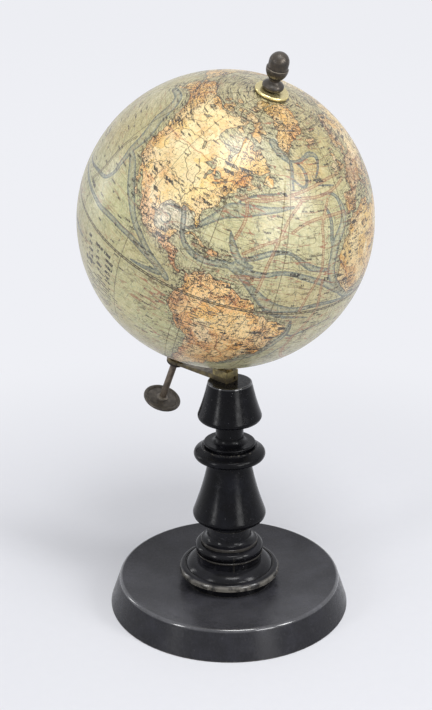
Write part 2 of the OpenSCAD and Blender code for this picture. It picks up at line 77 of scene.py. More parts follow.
# %% Node helpers
def put(tree, kind, inputs=None, **settings):
    """Adds a node; a socket given as an input is linked, and anything else becomes its value."""
    node = tree.nodes.new(kind)
    for key, value in settings.items():
        setattr(node, key, value)
    for key, value in (inputs or {}).items():
        if isinstance(value, bpy.types.NodeSocket):
            tree.links.new(value, node.inputs[key])
        else:
            node.inputs[key].default_value = value
    return node


def calc(tree, operation, first, second=None, third=None, clamp=False):
    values = {i: v for i, v in enumerate((first, second, third)) if v is not None}
    return put(tree, "ShaderNodeMath", values, operation=operation, use_clamp=clamp).outputs[0]


def times(tree, *values):
    total = values[0]
    for value in values[1:]:
        total = calc(tree, "MULTIPLY", total, value)
    return total


def step(tree, value, low, high, to_low=0.0, to_high=1.0):
    """Soft step: low gives to_low, high gives to_high."""
    node = put(tree, "ShaderNodeMapRange", {"Value": value, "From Min": low, "From Max": high,
                                            "To Min": to_low, "To Max": to_high},
               interpolation_type="SMOOTHSTEP")
    return node.outputs["Result"]


print("helpers for values: put, calc, times, step")

# %% [markdown]
# ## Helpers for colours and places
# Colours are mixed, noises drawn, and vectors put together and measured. A colour is written as
# on a paint chart, and `blank` gives a material or the world an empty network to fill.

# %% Helpers for colours and places
def mix(tree, factor, first, second, blend="MIX"):
    node = put(tree, "ShaderNodeMix", {0: factor, 6: first, 7: second},
               data_type="RGBA", blend_type=blend)
    return node.outputs[2]


def noise(tree, vector, scale, detail=4.0, roughness=0.55, distortion=0.0):
    node = put(tree, "ShaderNodeTexNoise", {"Vector": vector, "Scale": scale, "Detail": detail,
                                            "Roughness": roughness, "Distortion": distortion})
    return node.outputs["Fac"]


def combine(tree, *parts):
    return put(tree, "ShaderNodeCombineXYZ", dict(enumerate(parts))).outputs[0]


def length_of(tree, vector):
    return put(tree, "ShaderNodeVectorMath", {0: vector}, operation="LENGTH").outputs["Value"]


def blank(owner):
    """Empties the node tree of a material or of the world."""
    owner.use_nodes = True
    owner.node_tree.nodes.clear()
    return owner.node_tree


def tone(code):
    """A colour such as E9DDB0 in the linear values that nodes use."""
    parts = [int(code[i:i + 2], 16) / 255 for i in (0, 2, 4)]
    return tuple(p / 12.92 if p <= 0.04045 else ((p + 0.055) / 1.055) ** 2.4 for p in parts) + (1.0,)


print("helpers for colours and places: mix, noise, combine, length_of, blank, tone")

# %% [markdown]
# ## Floor, background and light
# The photograph has a pale, slightly cool background without a horizon. The floor gets that
# colour and keeps the object's shadow: rays from the camera and from mirrors see a glowing
# backdrop, which is weaker near the object so that the shadow stays, and others see matt ground.

# %% Floor
def seen_directly(tree):
    """One for rays from the camera, through glass and from mirrors, and zero for all others."""
    rays = put(tree, "ShaderNodeLightPath").outputs
    direct = calc(tree, "MAXIMUM", rays["Is Camera Ray"], rays["Is Transmission Ray"])
    return calc(tree, "MAXIMUM", direct, rays["Is Glossy Ray"])


floor_mesh = bmesh.new()
bmesh.ops.create_grid(floor_mesh, x_segments=8, y_segments=8, size=6.0)
floor_data = bpy.data.meshes.new("floor")
floor_mesh.to_mesh(floor_data)
floor_mesh.free()
floor = bpy.data.objects.new("floor", floor_data)
bpy.context.scene.collection.objects.link(floor)

floor_finish = bpy.data.materials.new("pale floor")
tree = blank(floor_finish)
place = put(tree, "ShaderNodeTexCoord").outputs["Object"]
away = length_of(tree, place)
# Painted shade: the glowing backdrop is a little darker close to the object and lightest about 0.4 m away
backdrop_tone = mix(tree, step(tree, away, 0.16, 0.42), tone("E7E8ED"), tone("EFF0F5"))
backdrop_tone = mix(tree, step(tree, away, 0.8, 2.4), backdrop_tone, tone("EDEEF3"))
matt_tone = mix(tree, noise(tree, place, 160.0), tone("E3E4E9"), tone("E7E8ED"))
matt = put(tree, "ShaderNodeBsdfPrincipled", {"Base Color": matt_tone, "Roughness": 0.75,
                                              "Specular IOR Level": 0.2})
glow = put(tree, "ShaderNodeEmission", {"Color": backdrop_tone, "Strength": 1.0})
share = times(tree, step(tree, away, 0.1, 0.4, 0.3, 1.0), seen_directly(tree))
far_mix = put(tree, "ShaderNodeMixShader", {0: share, 1: matt.outputs[0], 2: glow.outputs[0]})
put(tree, "ShaderNodeOutputMaterial", {0: far_mix.outputs[0]})
floor_data.materials.append(floor_finish)
print("floor size:", tuple(round(v, 2) for v in floor.dimensions))

# %% [markdown]
# ## World
# The world shows the background's colour to the same direct rays only, and lights the object
# with a plain, weaker level.

# %% World
world = bpy.data.worlds.new("studio")
bpy.context.scene.world = world
tree = blank(world)
plain = put(tree, "ShaderNodeBackground", {"Color": tone("F4F5FA"), "Strength": 0.42})
pale = put(tree, "ShaderNodeBackground", {"Color": tone("EDEEF3"), "Strength": 1.0})
chosen = put(tree, "ShaderNodeMixShader", {0: seen_directly(tree), 1: plain.outputs[0],
                                           2: pale.outputs[0]})
put(tree, "ShaderNodeOutputWorld", {0: chosen.outputs[0]})
print("world nodes:", len(tree.nodes))

# %% [markdown]
# ## Lamps
# Highlights tell where the lamps stood. On the ball there is one broad highlight to the right
# at half height and a faint one high up, and the turned wood shows upright stripes. So there is
# a large soft window to the right of the camera, a weaker one to the left and a wide one above.
# A strip on the far left and a pale wall only show as sheens in what shines.

# %% Lamps
def soft_window(name, azimuth, elevation, distance, width, height, watts, lights_matt=True):
    """A rectangular area lamp on a circle round the object, turned towards the ball's middle."""
    data = bpy.data.lights.new(name, "AREA")
    data.shape = "RECTANGLE"
    data.size, data.size_y = width, height
    data.energy = watts
    lamp = bpy.data.objects.new(name, data)
    turn, rise = math.radians(azimuth), math.radians(elevation)
    way = Vector((math.cos(rise) * math.cos(turn), math.cos(rise) * math.sin(turn), math.sin(rise)))
    lamp.location = Vector((0, 0, 0.2)) + way * distance
    lamp.rotation_euler = (-way).to_track_quat("-Z", "Y").to_euler()
    lamp.visible_diffuse = lights_matt
    bpy.context.scene.collection.objects.link(lamp)
    print(f"{name}: {watts} W at azimuth {azimuth}, elevation {elevation}")


soft_window("window right", 13, 25, 1.7, 0.36, 0.8, 12.0)
soft_window("window left", -96, 14, 1.9, 0.32, 1.0, 10.5)
soft_window("far strip on the left", -158, 12, 1.9, 0.22, 1.0, 4.5, lights_matt=False)
soft_window("window above", -28, 67, 1.8, 0.7, 0.7, 18.0)
soft_window("pale wall", -11, 12, 1.8, 0.55, 0.9, 11.0, lights_matt=False)

# %% [markdown]
# ## Measures
# All lengths below are in millimetres, as on the maker's drawing. The ball turns on an axis
# that leans 23.5 degrees, so one matrix stands the upright pieces of the axle on it. The rod's
# top end is bent a little further, so the finial gets a matrix of its own.

# %% Measures
ball_r = 80.0
ball_centre = Vector((-3.6, 0.0, 231.8))
axis_lean = math.radians(23.5)
cap_reach = 20.0
paper_t = 0.25
joint_w, pole_hole_r = 0.12, 3.6
joint_deg, pole_hole_deg = math.degrees(joint_w / ball_r), math.degrees(pole_hole_r / ball_r)
stub_turn, stub_lean = math.radians(-11), math.radians(21)

on_axis = Matrix.Translation(ball_centre) @ Matrix.Rotation(axis_lean, 4, "Y")
north_pole = on_axis @ Vector((0, 0, ball_r))
on_stub = (Matrix.Translation(north_pole) @ Matrix.Rotation(stub_turn, 4, "Z")
           @ Matrix.Rotation(stub_lean, 4, "Y"))
to_metres = Matrix.Scale(MM, 4)
print("north pole at", tuple(round(v, 1) for v in north_pole))

# %% [markdown]
# ## Outlines
# A turned piece is fully told by half of its outline, a list of radii and heights. Rounded and
# hollow parts are arcs of circles, and a nearly straight side of turned wood is a little hollow.

# %% Outlines
def arc(centre_r, centre_z, radius, start, end, count=8):
    """Points of a rounded or hollow part of an outline, from one angle in degrees to another."""
    angles = np.radians(np.linspace(start, end, count + 1))
    return [(centre_r + radius * math.cos(a), centre_z + radius * math.sin(a)) for a in angles]


def hollow(first, last, depth, count=8):
    """A slightly hollow side between two points."""
    run = [(last[0] - first[0]), (last[1] - first[1])]
    long = math.hypot(*run)
    inward = (-run[1] / long * depth, run[0] / long * depth)
    shares = np.linspace(0, 1, count + 1)
    return [(first[0] + run[0] * s + inward[0] * math.sin(math.pi * s),
             first[1] + run[1] * s + inward[1] * math.sin(math.pi * s)) for s in shares]


print("outline of a bead, for example:", [tuple(round(v, 2) for v in p) for p in arc(5, 1, 1, -90, 90, 2)])

# %% [markdown]
# ## Pieces on their bodies
# Every new piece rides on a body of the imported model and stands for the nodes that it
# replaces, so that the two models stay one object.

# %% Pieces on their bodies
def finished(name, bm, body, finish, stands_for):
    """Turns a bmesh in millimetres into a piece in metres, that rides on a body of the frame."""
    bmesh.ops.transform(bm, matrix=to_metres, verts=bm.verts)
    data = bpy.data.meshes.new(name)
    bm.to_mesh(data)
    bm.free()
    data.shade_smooth()
    piece = bpy.data.objects.new(name, data)
    bpy.context.scene.collection.objects.link(piece)
    if finish:
        data.materials.append(finish)
    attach(piece, body)
    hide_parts(*stands_for)
    print(f"{name}: {len(data.polygons)} faces")
    return piece


# %% [markdown]
# ## Turning on the lathe
# An outline is a chain of vertices in the XZ plane, and Blender's spin operator turns it once
# round the Z axis, as the lathe does. Corners of real wood and metal are never quite sharp, so the
# ring edges that are left get a tiny bevel: it catches the light in a thin bright line. How far
# each point lies from such a corner is kept as an attribute, because wear shows there first.

# %% Turning on the lathe
sharp_corner = math.radians(26)


def turned(outline, steps=144, closed=False, soften=0.12, place=Matrix()):
    """Spins an outline of (radius, height) points and softens its ring edges."""
    bm = bmesh.new()
    points = [bm.verts.new((r, 0, z)) for r, z in outline]
    pairs = list(zip(points, points[1:])) + ([(points[-1], points[0])] if closed else [])
    lines = [bm.edges.new(pair) for pair in pairs]
    bmesh.ops.spin(bm, geom=points + lines, cent=(0, 0, 0), axis=(0, 0, 1),
                   angle=math.tau, steps=steps, use_merge=True)
    bmesh.ops.remove_doubles(bm, verts=bm.verts, dist=0.002)
    bmesh.ops.recalc_face_normals(bm, faces=bm.faces)
    rings = [e for e in bm.edges if len(e.link_faces) == 2
             and e.calc_face_angle() > sharp_corner
             and abs(e.verts[0].co.z - e.verts[1].co.z) < 0.001]
    corners = {(round(math.hypot(*e.verts[0].co.xy), 2), round(e.verts[0].co.z, 2))
               for e in rings if e.is_convex}
    if soften:
        bmesh.ops.bevel(bm, geom=rings, offset=soften, segments=2, profile=0.5,
                        affect="EDGES", material=-1, clamp_overlap=True)
    far = bm.verts.layers.float.new("from_corner")
    known = np.array(sorted(corners)) if corners else np.array([[1e3, 1e3]])
    for v in bm.verts:
        v[far] = float(np.hypot(known[:, 0] - math.hypot(v.co.x, v.co.y), known[:, 1] - v.co.z).min())
    bmesh.ops.transform(bm, matrix=place, verts=bm.verts)
    return bm


def lathe_piece(name, outline, body, finish, node, slot, **turning):
    """A turned piece in the place of one node; only its small bevels are shaded round."""
    piece = finished(name, turned(outline, **turning), body, finish, [node])
    piece.modifiers.new("even shading", "WEIGHTED_NORMAL").keep_sharp = True


print("lathe ready")

# %% [markdown]
# ## Effects that several finishes share
# Wear, dust and grain return on many pieces, so each is a node group with named sockets that
# gives a mask or a value. The shader itself stays in each finish. Every pattern reads Object
# coordinates in millimetres, so it sticks to the piece and has its real size.

# %% Effect groups
def effect(name, inputs, outputs):
    group = bpy.data.node_groups.new(name, "ShaderNodeTree")
    for label, kind, value in inputs:
        socket = group.interface.new_socket(label, in_out="INPUT", socket_type=kind)
        if value is not None:
            socket.default_value = value
    for label, kind in outputs:
        group.interface.new_socket(label, in_out="OUTPUT", socket_type=kind)
    return group, put(group, "NodeGroupInput").outputs, put(group, "NodeGroupOutput").inputs


def use(tree, group, inputs=None):
    return put(tree, "ShaderNodeGroup", inputs, node_tree=group).outputs


FLOAT, VECTOR = "NodeSocketFloat", "NodeSocketVector"

millimetres, given, given_out = effect("millimetres", [], [("Place", VECTOR)])
scaled = put(millimetres, "ShaderNodeVectorMath",
             {0: put(millimetres, "ShaderNodeTexCoord").outputs["Object"], 1: (1000, 1000, 1000)},
             operation="MULTIPLY")
millimetres.links.new(scaled.outputs[0], given_out["Place"])

# %% [markdown]
# ## Edge wear
# Corners lose their stain and tarnish. The mask is full at a corner and fades within its
# reach, and a noise breaks its edge up.

# %% Edge wear
edge_wear, given, given_out = effect(
    "edge wear", [("From Corner", FLOAT, 9.0), ("Reach", FLOAT, 0.6), ("Breakup", FLOAT, 0.5)],
    [("Mask", FLOAT)])
place = use(edge_wear, millimetres)["Place"]
near = step(edge_wear, given["From Corner"], 0.0, given["Reach"], 1.0, 0.0)
rough_edge = noise(edge_wear, place, 0.9, 5)
ragged = calc(edge_wear, "ADD", near, calc(edge_wear, "MULTIPLY_ADD", rough_edge, 2.0, -1.0))
worn = step(edge_wear, ragged, given["Breakup"], calc(edge_wear, "ADD", given["Breakup"], 0.45))
edge_wear.links.new(times(edge_wear, worn, near), given_out["Mask"])

# %% [markdown]
# ## Dust and specks
# Dust lies on what faces upwards, thicker in some clouds than elsewhere. Specks are a few of
# the cells of a cell pattern, each with one small grain.

# %% Dust and specks
dust, given, given_out = effect(
    "dust", [("Amount", FLOAT, 0.3), ("Speck Size", FLOAT, 1.2)], [("Haze", FLOAT), ("Specks", FLOAT)])
place = use(dust, millimetres)["Place"]
up = put(dust, "ShaderNodeSeparateXYZ", {0: put(dust, "ShaderNodeNewGeometry").outputs["Normal"]})
lying = step(dust, up.outputs["Z"], 0.15, 0.95)
cloud = step(dust, noise(dust, place, 0.035, 4, 0.5), 0.3, 0.75, 0.35, 1.0)
haze = times(dust, lying, cloud, given["Amount"])
cells = put(dust, "ShaderNodeTexVoronoi", {"Vector": place, "Scale": given["Speck Size"]})
small = step(dust, cells.outputs["Distance"], 0.06, 0.12, 1.0, 0.0)
chance = put(dust, "ShaderNodeSeparateColor", {0: cells.outputs["Color"]})
few = calc(dust, "GREATER_THAN", chance.outputs[0], 0.86)
dust.links.new(haze, given_out["Haze"])
dust.links.new(times(dust, small, few), given_out["Specks"])
print("effects:", [g.name for g in bpy.data.node_groups])

# %% [markdown]
# ## Marks on the wood
# Hands and cloths have polished the outermost lip, which is painted a lighter grey, partly as their wear
# and partly as a painted highlight on its rounded edge, here and there more than elsewhere.
# Scratches are the places where a stretched and slanted noise crosses its middle value. A
# shrinkage crack runs up through the drum and the bead on the side towards the camera.

# %% Marks on the wood
def lip_wear_and_painted_highlight(tree, place, coloured, lip):
    lip_r, lip_z, lip_reach, lip_depth, lip_tone, lip_polish = lip
    parts = put(tree, "ShaderNodeSeparateXYZ", {0: place}).outputs
    out = length_of(tree, combine(tree, parts["X"], parts["Y"]))
    from_lip = length_of(tree, combine(tree, calc(tree, "SUBTRACT", out, lip_r),
                                       calc(tree, "SUBTRACT", parts["Z"], lip_z)))
    on_lip = step(tree, from_lip, lip_reach * 0.5, lip_reach, 1.0, 0.0)
    uneven = step(tree, noise(tree, place, 0.12, 6, 0.7), 0.42, 0.58, 0.1, 1.0)
    # The lighter grey on the lip is partly wear and partly a painted highlight on the rounded edge
    greyed_and_highlighted = mix(tree, times(tree, on_lip, lip_depth, uneven), coloured, tone(lip_tone))
    return greyed_and_highlighted, times(tree, on_lip, lip_polish)


def scratched(tree, place, coloured):
    slanted = put(tree, "ShaderNodeMapping", {"Vector": place, "Rotation": (0.3, 0.75, 0.5),
                                              "Scale": (0.05, 0.9, 0.9)}).outputs[0]
    grazed = calc(tree, "ABSOLUTE", calc(tree, "SUBTRACT", noise(tree, slanted, 0.4, 2), 0.5))
    lines = times(tree, step(tree, grazed, 0.0, 0.006, 1.0, 0.0),
                  step(tree, noise(tree, place, 0.12, 3), 0.56, 0.64))
    return mix(tree, times(tree, lines, 0.4), coloured, tone("6E6E74"))


def cracked(tree, place, coloured, height):
    parts = put(tree, "ShaderNodeSeparateXYZ", {0: place}).outputs
    turn_at = calc(tree, "ADD", calc(tree, "ARCTAN2", parts["Y"], parts["X"]), 0.66)
    wander = calc(tree, "MULTIPLY_ADD", noise(tree, place, 0.35, 3), 0.03, -0.015)
    aside = times(tree, calc(tree, "ABSOLUTE", calc(tree, "ADD", turn_at, wander)), 19.0)
    tall = times(tree, step(tree, parts["Z"], 27.4, 28.2), step(tree, parts["Z"], 36.0, 38.0, 1.0, 0.0))
    split = times(tree, step(tree, aside, 0.14, 0.3, 1.0, 0.0), tall)
    coloured = mix(tree, split, coloured, tone("020202"))
    lip_glint = times(tree, step(tree, aside, 0.3, 0.55, 1.0, 0.0), tall)
    coloured = mix(tree, times(tree, calc(tree, "SUBTRACT", lip_glint, split), 0.35),
                   coloured, tone("5A5750"))
    return coloured, calc(tree, "SUBTRACT", height, times(tree, split, 3.0))


print("marks ready: lip wear, scratches, crack")

# %% [markdown]
# ## Blackened wood
# The stand is pear or lime wood, turned, stained black and polished. What the eye reads is
# the gloss: two soft stripes, broken by turning rings, fine scratches and dust. At corners
# the stain has rubbed off and the brown wood looks through.

# %% Blackened wood
def blackened_wood(name, stain, haze, wear, gloss, shine, lip, crack=False):
    finish = bpy.data.materials.new(name)
    tree = blank(finish)
    place = use(tree, millimetres)["Place"]
    stretched = put(tree, "ShaderNodeMapping", {"Vector": place, "Scale": (1.0, 1.0, 0.06)}).outputs[0]
    fibres = noise(tree, stretched, 1.6, 6, 0.65)
    clouds = noise(tree, place, 0.07, 5, 0.6)
    black = mix(tree, step(tree, fibres, 0.35, 0.75), tone(stain[0]), tone(stain[1]))
    black = mix(tree, step(tree, clouds, 0.42, 0.72, 0.0, 0.5), black, tone(stain[2]))
    corner = put(tree, "ShaderNodeAttribute", attribute_name="from_corner").outputs["Fac"]
    rubbed = use(tree, edge_wear, {"From Corner": corner, "Breakup": 1.0 - wear})["Mask"]
    worn_tone = mix(tree, fibres, tone("4A4238"), tone("8C877C"))
    coloured = mix(tree, times(tree, rubbed, 0.2 if crack else 0.8), black, worn_tone)
    coloured, polished = lip_wear_and_painted_highlight(tree, place, coloured, lip)
    lying = use(tree, dust, {"Amount": haze, "Speck Size": 0.5})
    coloured = mix(tree, lying["Haze"], coloured, tone("77777D"))
    coloured = mix(tree, times(tree, lying["Specks"], 0.35), coloured, tone("9C9CA0"))
    coloured = scratched(tree, place, coloured)
    # Fine turning rings: bands of noise that change only with height
    rings = put(tree, "ShaderNodeMapping", {"Vector": place, "Scale": (0.03, 0.03, 2.4)}).outputs[0]
    turning = noise(tree, rings, 1.0, 3, 0.6)
    height = calc(tree, "ADD", times(tree, turning, 0.8), times(tree, fibres, 0.25))
    if crack:
        coloured, height = cracked(tree, place, coloured, height)
    scuffs = noise(tree, place, 0.35, 7, 0.7)
    rough = calc(tree, "ADD", gloss, step(tree, scuffs, 0.35, 0.75, -0.07, 0.13))
    rough = calc(tree, "ADD", rough, times(tree, lying["Haze"], 0.35), clamp=True)
    bump = put(tree, "ShaderNodeBump", {"Height": height, "Strength": 0.2, "Distance": 0.0001})
    shader = put(tree, "ShaderNodeBsdfPrincipled", {
        "Base Color": coloured, "Roughness": rough, "Normal": bump.outputs[0],
        "Specular IOR Level": shine, "Coat Roughness": 0.1, "Coat IOR": 1.7,
        "Coat Weight": polished})
    put(tree, "ShaderNodeOutputMaterial", {0: shader.outputs[0]})
    return finish


# A lip is its radius and height, its reach in mm, depth and tone of the grey (wear and painted highlight),
# and its polish
column_black = blackened_wood("blackened column wood", ("060608", "0D0D10", "1A1B22"), haze=0.03,
                              wear=0.08, gloss=0.23, shine=0.12,
                              lip=(12.3, 138.9, 0.9, 0.05, "3A3A40", 0.9))
foot_black = blackened_wood("blackened foot wood", ("08080A", "111114", "1E1E25"), haze=0.08, wear=0.5,
                            gloss=0.18, shine=0.16, lip=(28.9, 21.6, 2.6, 0.7, "827E76", 0.3), crack=True)
# The base's stain is lighter than the column's partly as a painted sheen of what its glossy top and sides
# reflect
base_black = blackened_wood("blackened base wood", ("1D1D20", "27272B", "303037"), haze=0.2, wear=0.3,
                            gloss=0.25, shine=0.2, lip=(64.0, 16.9, 1.5, 0.15, "78787C", 0.9))
print("wood finishes:", column_black.name, foot_black.name, base_black.name)

# %% [markdown]
# ## Metals
# Brass, iron and a dark bronze are all one kind of finish: a metal colour, a darker tarnish
# in clouds, brighter metal on rubbed corners and fine scratches in the gloss. One function
# makes them, and each metal gets its own colours and share of tarnish.

# %% Metals
def old_metal(name, metal, tarnish, bright, tarnish_share, rough, metallic=0.9):
    finish = bpy.data.materials.new(name)
    tree = blank(finish)
    place = use(tree, millimetres)["Place"]
    clouds = noise(tree, place, 0.35, 6, 0.62)
    scratches = noise(tree, place, 2.2, 6, 0.7)
    level = 0.5 + 0.22 * (1 - 2 * tarnish_share)
    dulled = step(tree, clouds, level - 0.14, level + 0.14)
    coloured = mix(tree, dulled, tone(metal), tone(tarnish))
    coloured = mix(tree, step(tree, scratches, 0.4, 0.85, 0.0, 0.5), coloured, tone(metal))
    corner = put(tree, "ShaderNodeAttribute", attribute_name="from_corner").outputs["Fac"]
    corner = calc(tree, "ADD", corner, step(tree, corner, 0.0, 0.0001, 9.0, 0.0))
    rubbed = use(tree, edge_wear, {"From Corner": corner, "Reach": 0.5, "Breakup": 0.45})["Mask"]
    coloured = mix(tree, rubbed, coloured, tone(bright))
    specks = use(tree, dust, {"Amount": 0.2, "Speck Size": 1.1})
    coloured = mix(tree, specks["Haze"], coloured, tone("9A948A"))
    shine = calc(tree, "ADD", step(tree, clouds, 0.3, 0.7, rough - 0.08, rough + 0.14),
                 step(tree, scratches, 0.35, 0.8, -0.05, 0.1), clamp=True)
    bump = put(tree, "ShaderNodeBump", {"Height": calc(tree, "ADD", scratches, clouds),
                                        "Strength": 0.5, "Distance": 0.00005})
    dull = step(tree, calc(tree, "ADD", dulled, specks["Haze"]), 0.2, 1.2, metallic, metallic - 0.35)
    shader = put(tree, "ShaderNodeBsdfPrincipled", {
        "Base Color": coloured, "Roughness": shine, "Metallic": dull, "Normal": bump.outputs[0]})
    put(tree, "ShaderNodeOutputMaterial", {0: shader.outputs[0]})
    return finish


metals = {
    "arm": old_metal("olive brass", "6E6244", "443C2C", "948662", 0.55, 0.42, 0.75),
    "arm_block": old_metal("olive brass block", "8E8158", "524930", "BCAF80", 0.48, 0.38, 0.8),
    "arm_screws": old_metal("browned brass screws", "7E6C42", "3E3424", "B59F66", 0.6, 0.4),
    "arm_bush": old_metal("dark iron bush", "46403A", "241E1A", "6A6258", 0.6, 0.45),
    "axle_rod": old_metal("rusty iron rod", "766A5C", "4A4138", "928372", 0.5, 0.5, 0.55),
    "knob": old_metal("dark bronze knob", "5C554D", "38322C", "7A7268", 0.5, 0.46, 0.6),
    "finial": old_metal("dark patina finial", "4C453D", "2A2520", "82786A", 0.45, 0.36, 0.6),
    "spacer_sleeve": old_metal("brass sleeve", "8E7A44", "57492B", "BBA566", 0.5, 0.4),
    "bright_washer": old_metal("bright brass washer", "E6D79C", "BCA86A", "F4EBC0", 0.2, 0.24, 0.85),
    "bush": old_metal("brass bush", "A8914F", "6B5A33", "C9B370", 0.5, 0.36),
    "tacks": old_metal("iron tacks", "5A544E", "332C28", "7E766C", 0.5, 0.45),
    "base_screws": old_metal("iron base screws", "6A645E", "3C322B", "8D867C", 0.5, 0.42),
}
print("metals:", sorted(metals))

# %% [markdown]
# ## The turned stand
# Three pieces stand on each other: a broad plinth with a dished top, the foot with its bead,
# and the shaft with the vase and the cap. Their outlines repeat the drawing of the model, so
# the solids and these surfaces are the same shape, only finer.

# %% Plinth
rim_r, rim_round, base_top, dish_r, dish_z = 64.6, 1.8, 17.5, 30.0, 14.5
dish_w, dish_h = rim_r - rim_round - dish_r, base_top - dish_z
dish_arc = (dish_w ** 2 + dish_h ** 2) / (2 * dish_h)
sweep = math.degrees(math.asin(dish_w / dish_arc))
plinth_outline = ([(0, 0), (69.4, 0), (69.8, 0.4)]
                  + arc(rim_r - rim_round, base_top - rim_round, rim_round, 6, 90, 10)
                  + arc(dish_r, dish_z + dish_arc, dish_arc, sweep - 90, -90, 30)[1:]
                  + [(8.05, dish_z), (8.05, 7.0), (0, 7.0)])
lathe_piece("plinth", plinth_outline, "stand", base_black, "base_plinth", "base_wood", steps=192)

# %% [markdown]
# ## Foot
# The foot stands on a spigot in the dish. It goes up from its flange with a low rounded
# moulding to the drum, the bead and a hollow bell, on which the shaft sits.

# %% Foot
foot_outline = (
    [(8.05, 14.5), (25.0, 14.5), (25.0, 20.1), (28.8, 20.1), (29.2, 20.5)]
    + arc(26.6, 21.8, 2.6, 0, 90) + [(26.0, 24.4), (25.8, 24.0), (25.3, 24.0)]
    + arc(18.9, 20.9, 7.1, 26, 89, 12)
    + [(18.9, 28.0), (18.9, 32.4), (19.4, 32.4), (19.6, 32.6), (19.6, 33.1), (19.4, 33.3)]
    + arc(17.1, 35.95, 2.65, -90, 90, 16)
    + [(16.2, 38.6), (16.2, 39.0), (16.6, 39.0), (16.6, 40.1), (16.2, 40.5)]
    + arc(16.2, 43.8, 3.3, 270, 180, 10)[1:] + [(12.7, 49.6), (8.05, 49.6)])
lathe_piece("foot", foot_outline, "stand", foot_black, "column_foot", "column_wood", closed=True)

# %% [markdown]
# ## Shaft
# The shaft is one long piece: a tenon down through the foot, the vase, a ring, a cushion, the
# hollow neck and the cap. A vase and a neck leave their round part at the same slant.

# %% Shaft
def leave(centre_r, centre_z, radius, angle=17):
    return (centre_r + radius * math.cos(math.radians(angle)),
            centre_z + radius * math.sin(math.radians(angle)))


vase_mid, ring_mid, cap_mid = (17.6, 57.55), (17.9, 95.3), (15.85, 118.7)
shaft_outline = (
    [(0, 7.05), (8.0, 7.05), (8.0, 49.6), (12.3, 49.6), (12.3, 53.2), (17.6, 53.6)]
    + arc(*vase_mid, 3.55, -90, 17, 12)[1:]
    + hollow(leave(*vase_mid, 3.55), (12.45, 89.2), 0.7, 14)[1:]
    + [(12.85, 91.0), (14.25, 91.4), (14.25, 91.9)]
    + arc(*ring_mid, 2.6, -90, 60, 12)
    + [(16.2, 99.0), (16.2, 99.8), (15.8, 100.2), (13.2, 100.2), (13.2, 101.0)]
    + arc(14.0, 101.8, 0.8, -90, 90, 8)
    + arc(10.9, 105.6, 3.0, 270, 180, 10)
    + [(7.9, 114.6), (8.7, 115.4)] + arc(*cap_mid, 2.4, -90, 17, 12)
    + hollow(leave(*cap_mid, 2.4), (12.6, 138.6), 0.35, 12)[1:]
    + arc(12.0, 138.6, 0.6, 20, 90, 6) + [(0, 139.2)])
lathe_piece("shaft", shaft_outline, "stand", column_black, "column_shaft", "column_wood")

# %% [markdown]
# ## Finial, washers and knob
# The finial is an acorn of dark bronze: a round foot, a thin neck, a cup and a nut. It stands
# on the bent end of the rod, so it is turned upright and then laid along that end.

# %% Finial
ring_gap, foot_bead, finial_lift = 0.3, 1.872, 2.277
finial_outline = (
    [(1.93, 9.0), (1.93, 0.0)] + arc(5.65 - foot_bead, foot_bead, foot_bead, -90, 45, 12)
    + [(4.3, 3.75), (3.4, 4.4), (3.0, 4.8), (3.0, 5.2)]
    + arc(-1.45, 11.6, 7.2, -51, -3, 12) + [(5.75, 12.0), (5.2, 12.05)]
    + arc(0, 15.4, 5.2, 2, 90, 12) + [(0, 9.0)])
finial_at = on_stub @ Matrix.Translation((0, 0, finial_lift))
lathe_piece("acorn_finial", finial_outline, "axle", metals["finial"], "finial", "dark_bronze",
            steps=96, place=finial_at, soften=0.06)

# %% [markdown]
# ## Bright ring
# The brass washer under the finial is flat below and rounded above. It lies loosely round the
# pole, and its inner edge stands a little off the paper.

# %% Bright ring
ring_outline = ([(2.4, 0), (8.6, 0)] + arc(8.6, 0.4, 0.4, -90, 0, 4)[1:]
                + arc(8.2, 0.8, 0.8, 0, 90, 8) + [(2.4, 1.6)])
ring_at = on_axis @ Matrix.Translation((0, 0, ball_r + ring_gap))
lathe_piece("bright_ring", ring_outline, "axle", metals["bright_washer"], "north_washer", "ring_brass",
            steps=128, closed=True, soften=0.0, place=ring_at)

# %% [markdown]
# ## Knob
# The knob is a flat disc with a rolled rim and a short collar. It hangs square to the rod's
# lower end and turns with the axle.

# %% Knob
knob_outline = ([(2.05, 0), (9.9, 0)] + arc(10.1, 1.175, 1.1, -80, 180, 16)
                + [(9.0, 1.5), (8.2, 1.62), (5.2, 1.8), (3.7, 1.8), (3.2, 2.6), (2.05, 3.3)])
rod_end, knob_drop = -129.8, 1.8
knob_at = on_axis @ Matrix.Translation((0, 0, rod_end - knob_drop))
lathe_piece("knob", knob_outline, "axle", metals["knob"], "knob_disc", "dark_bronze",
            steps=96, closed=True, place=knob_at, soften=0.06)

# %% [markdown]
# ## Arm, rod and the small parts
# These keep the solids of the model, because flat bars, round bars and screws are right as
# they are. Each gets its own finish in its material slot.

# %% Finishes of the kept parts
def dress(node, finish):
    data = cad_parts[node].data
    data.materials.clear()
    data.materials.append(finish)


for node in ("arm", "arm_block", "arm_screws", "arm_bush", "axle_rod", "spacer_sleeve", "base_screws"):
    dress(node, metals[node])
dress("south_washer", metals["spacer_sleeve"])
dress("north_bush", metals["bush"])
dress("south_bush", metals["bush"])
dress("pole_tacks", metals["tacks"])
print("dressed the metal nodes")

# %% [markdown]
# ## Inside the ball
# Nobody sees these unless the ball is opened, yet each is a real material: a pine post, two
# papier-mache half shells, a strip of paper along their joint and a coat of plaster.

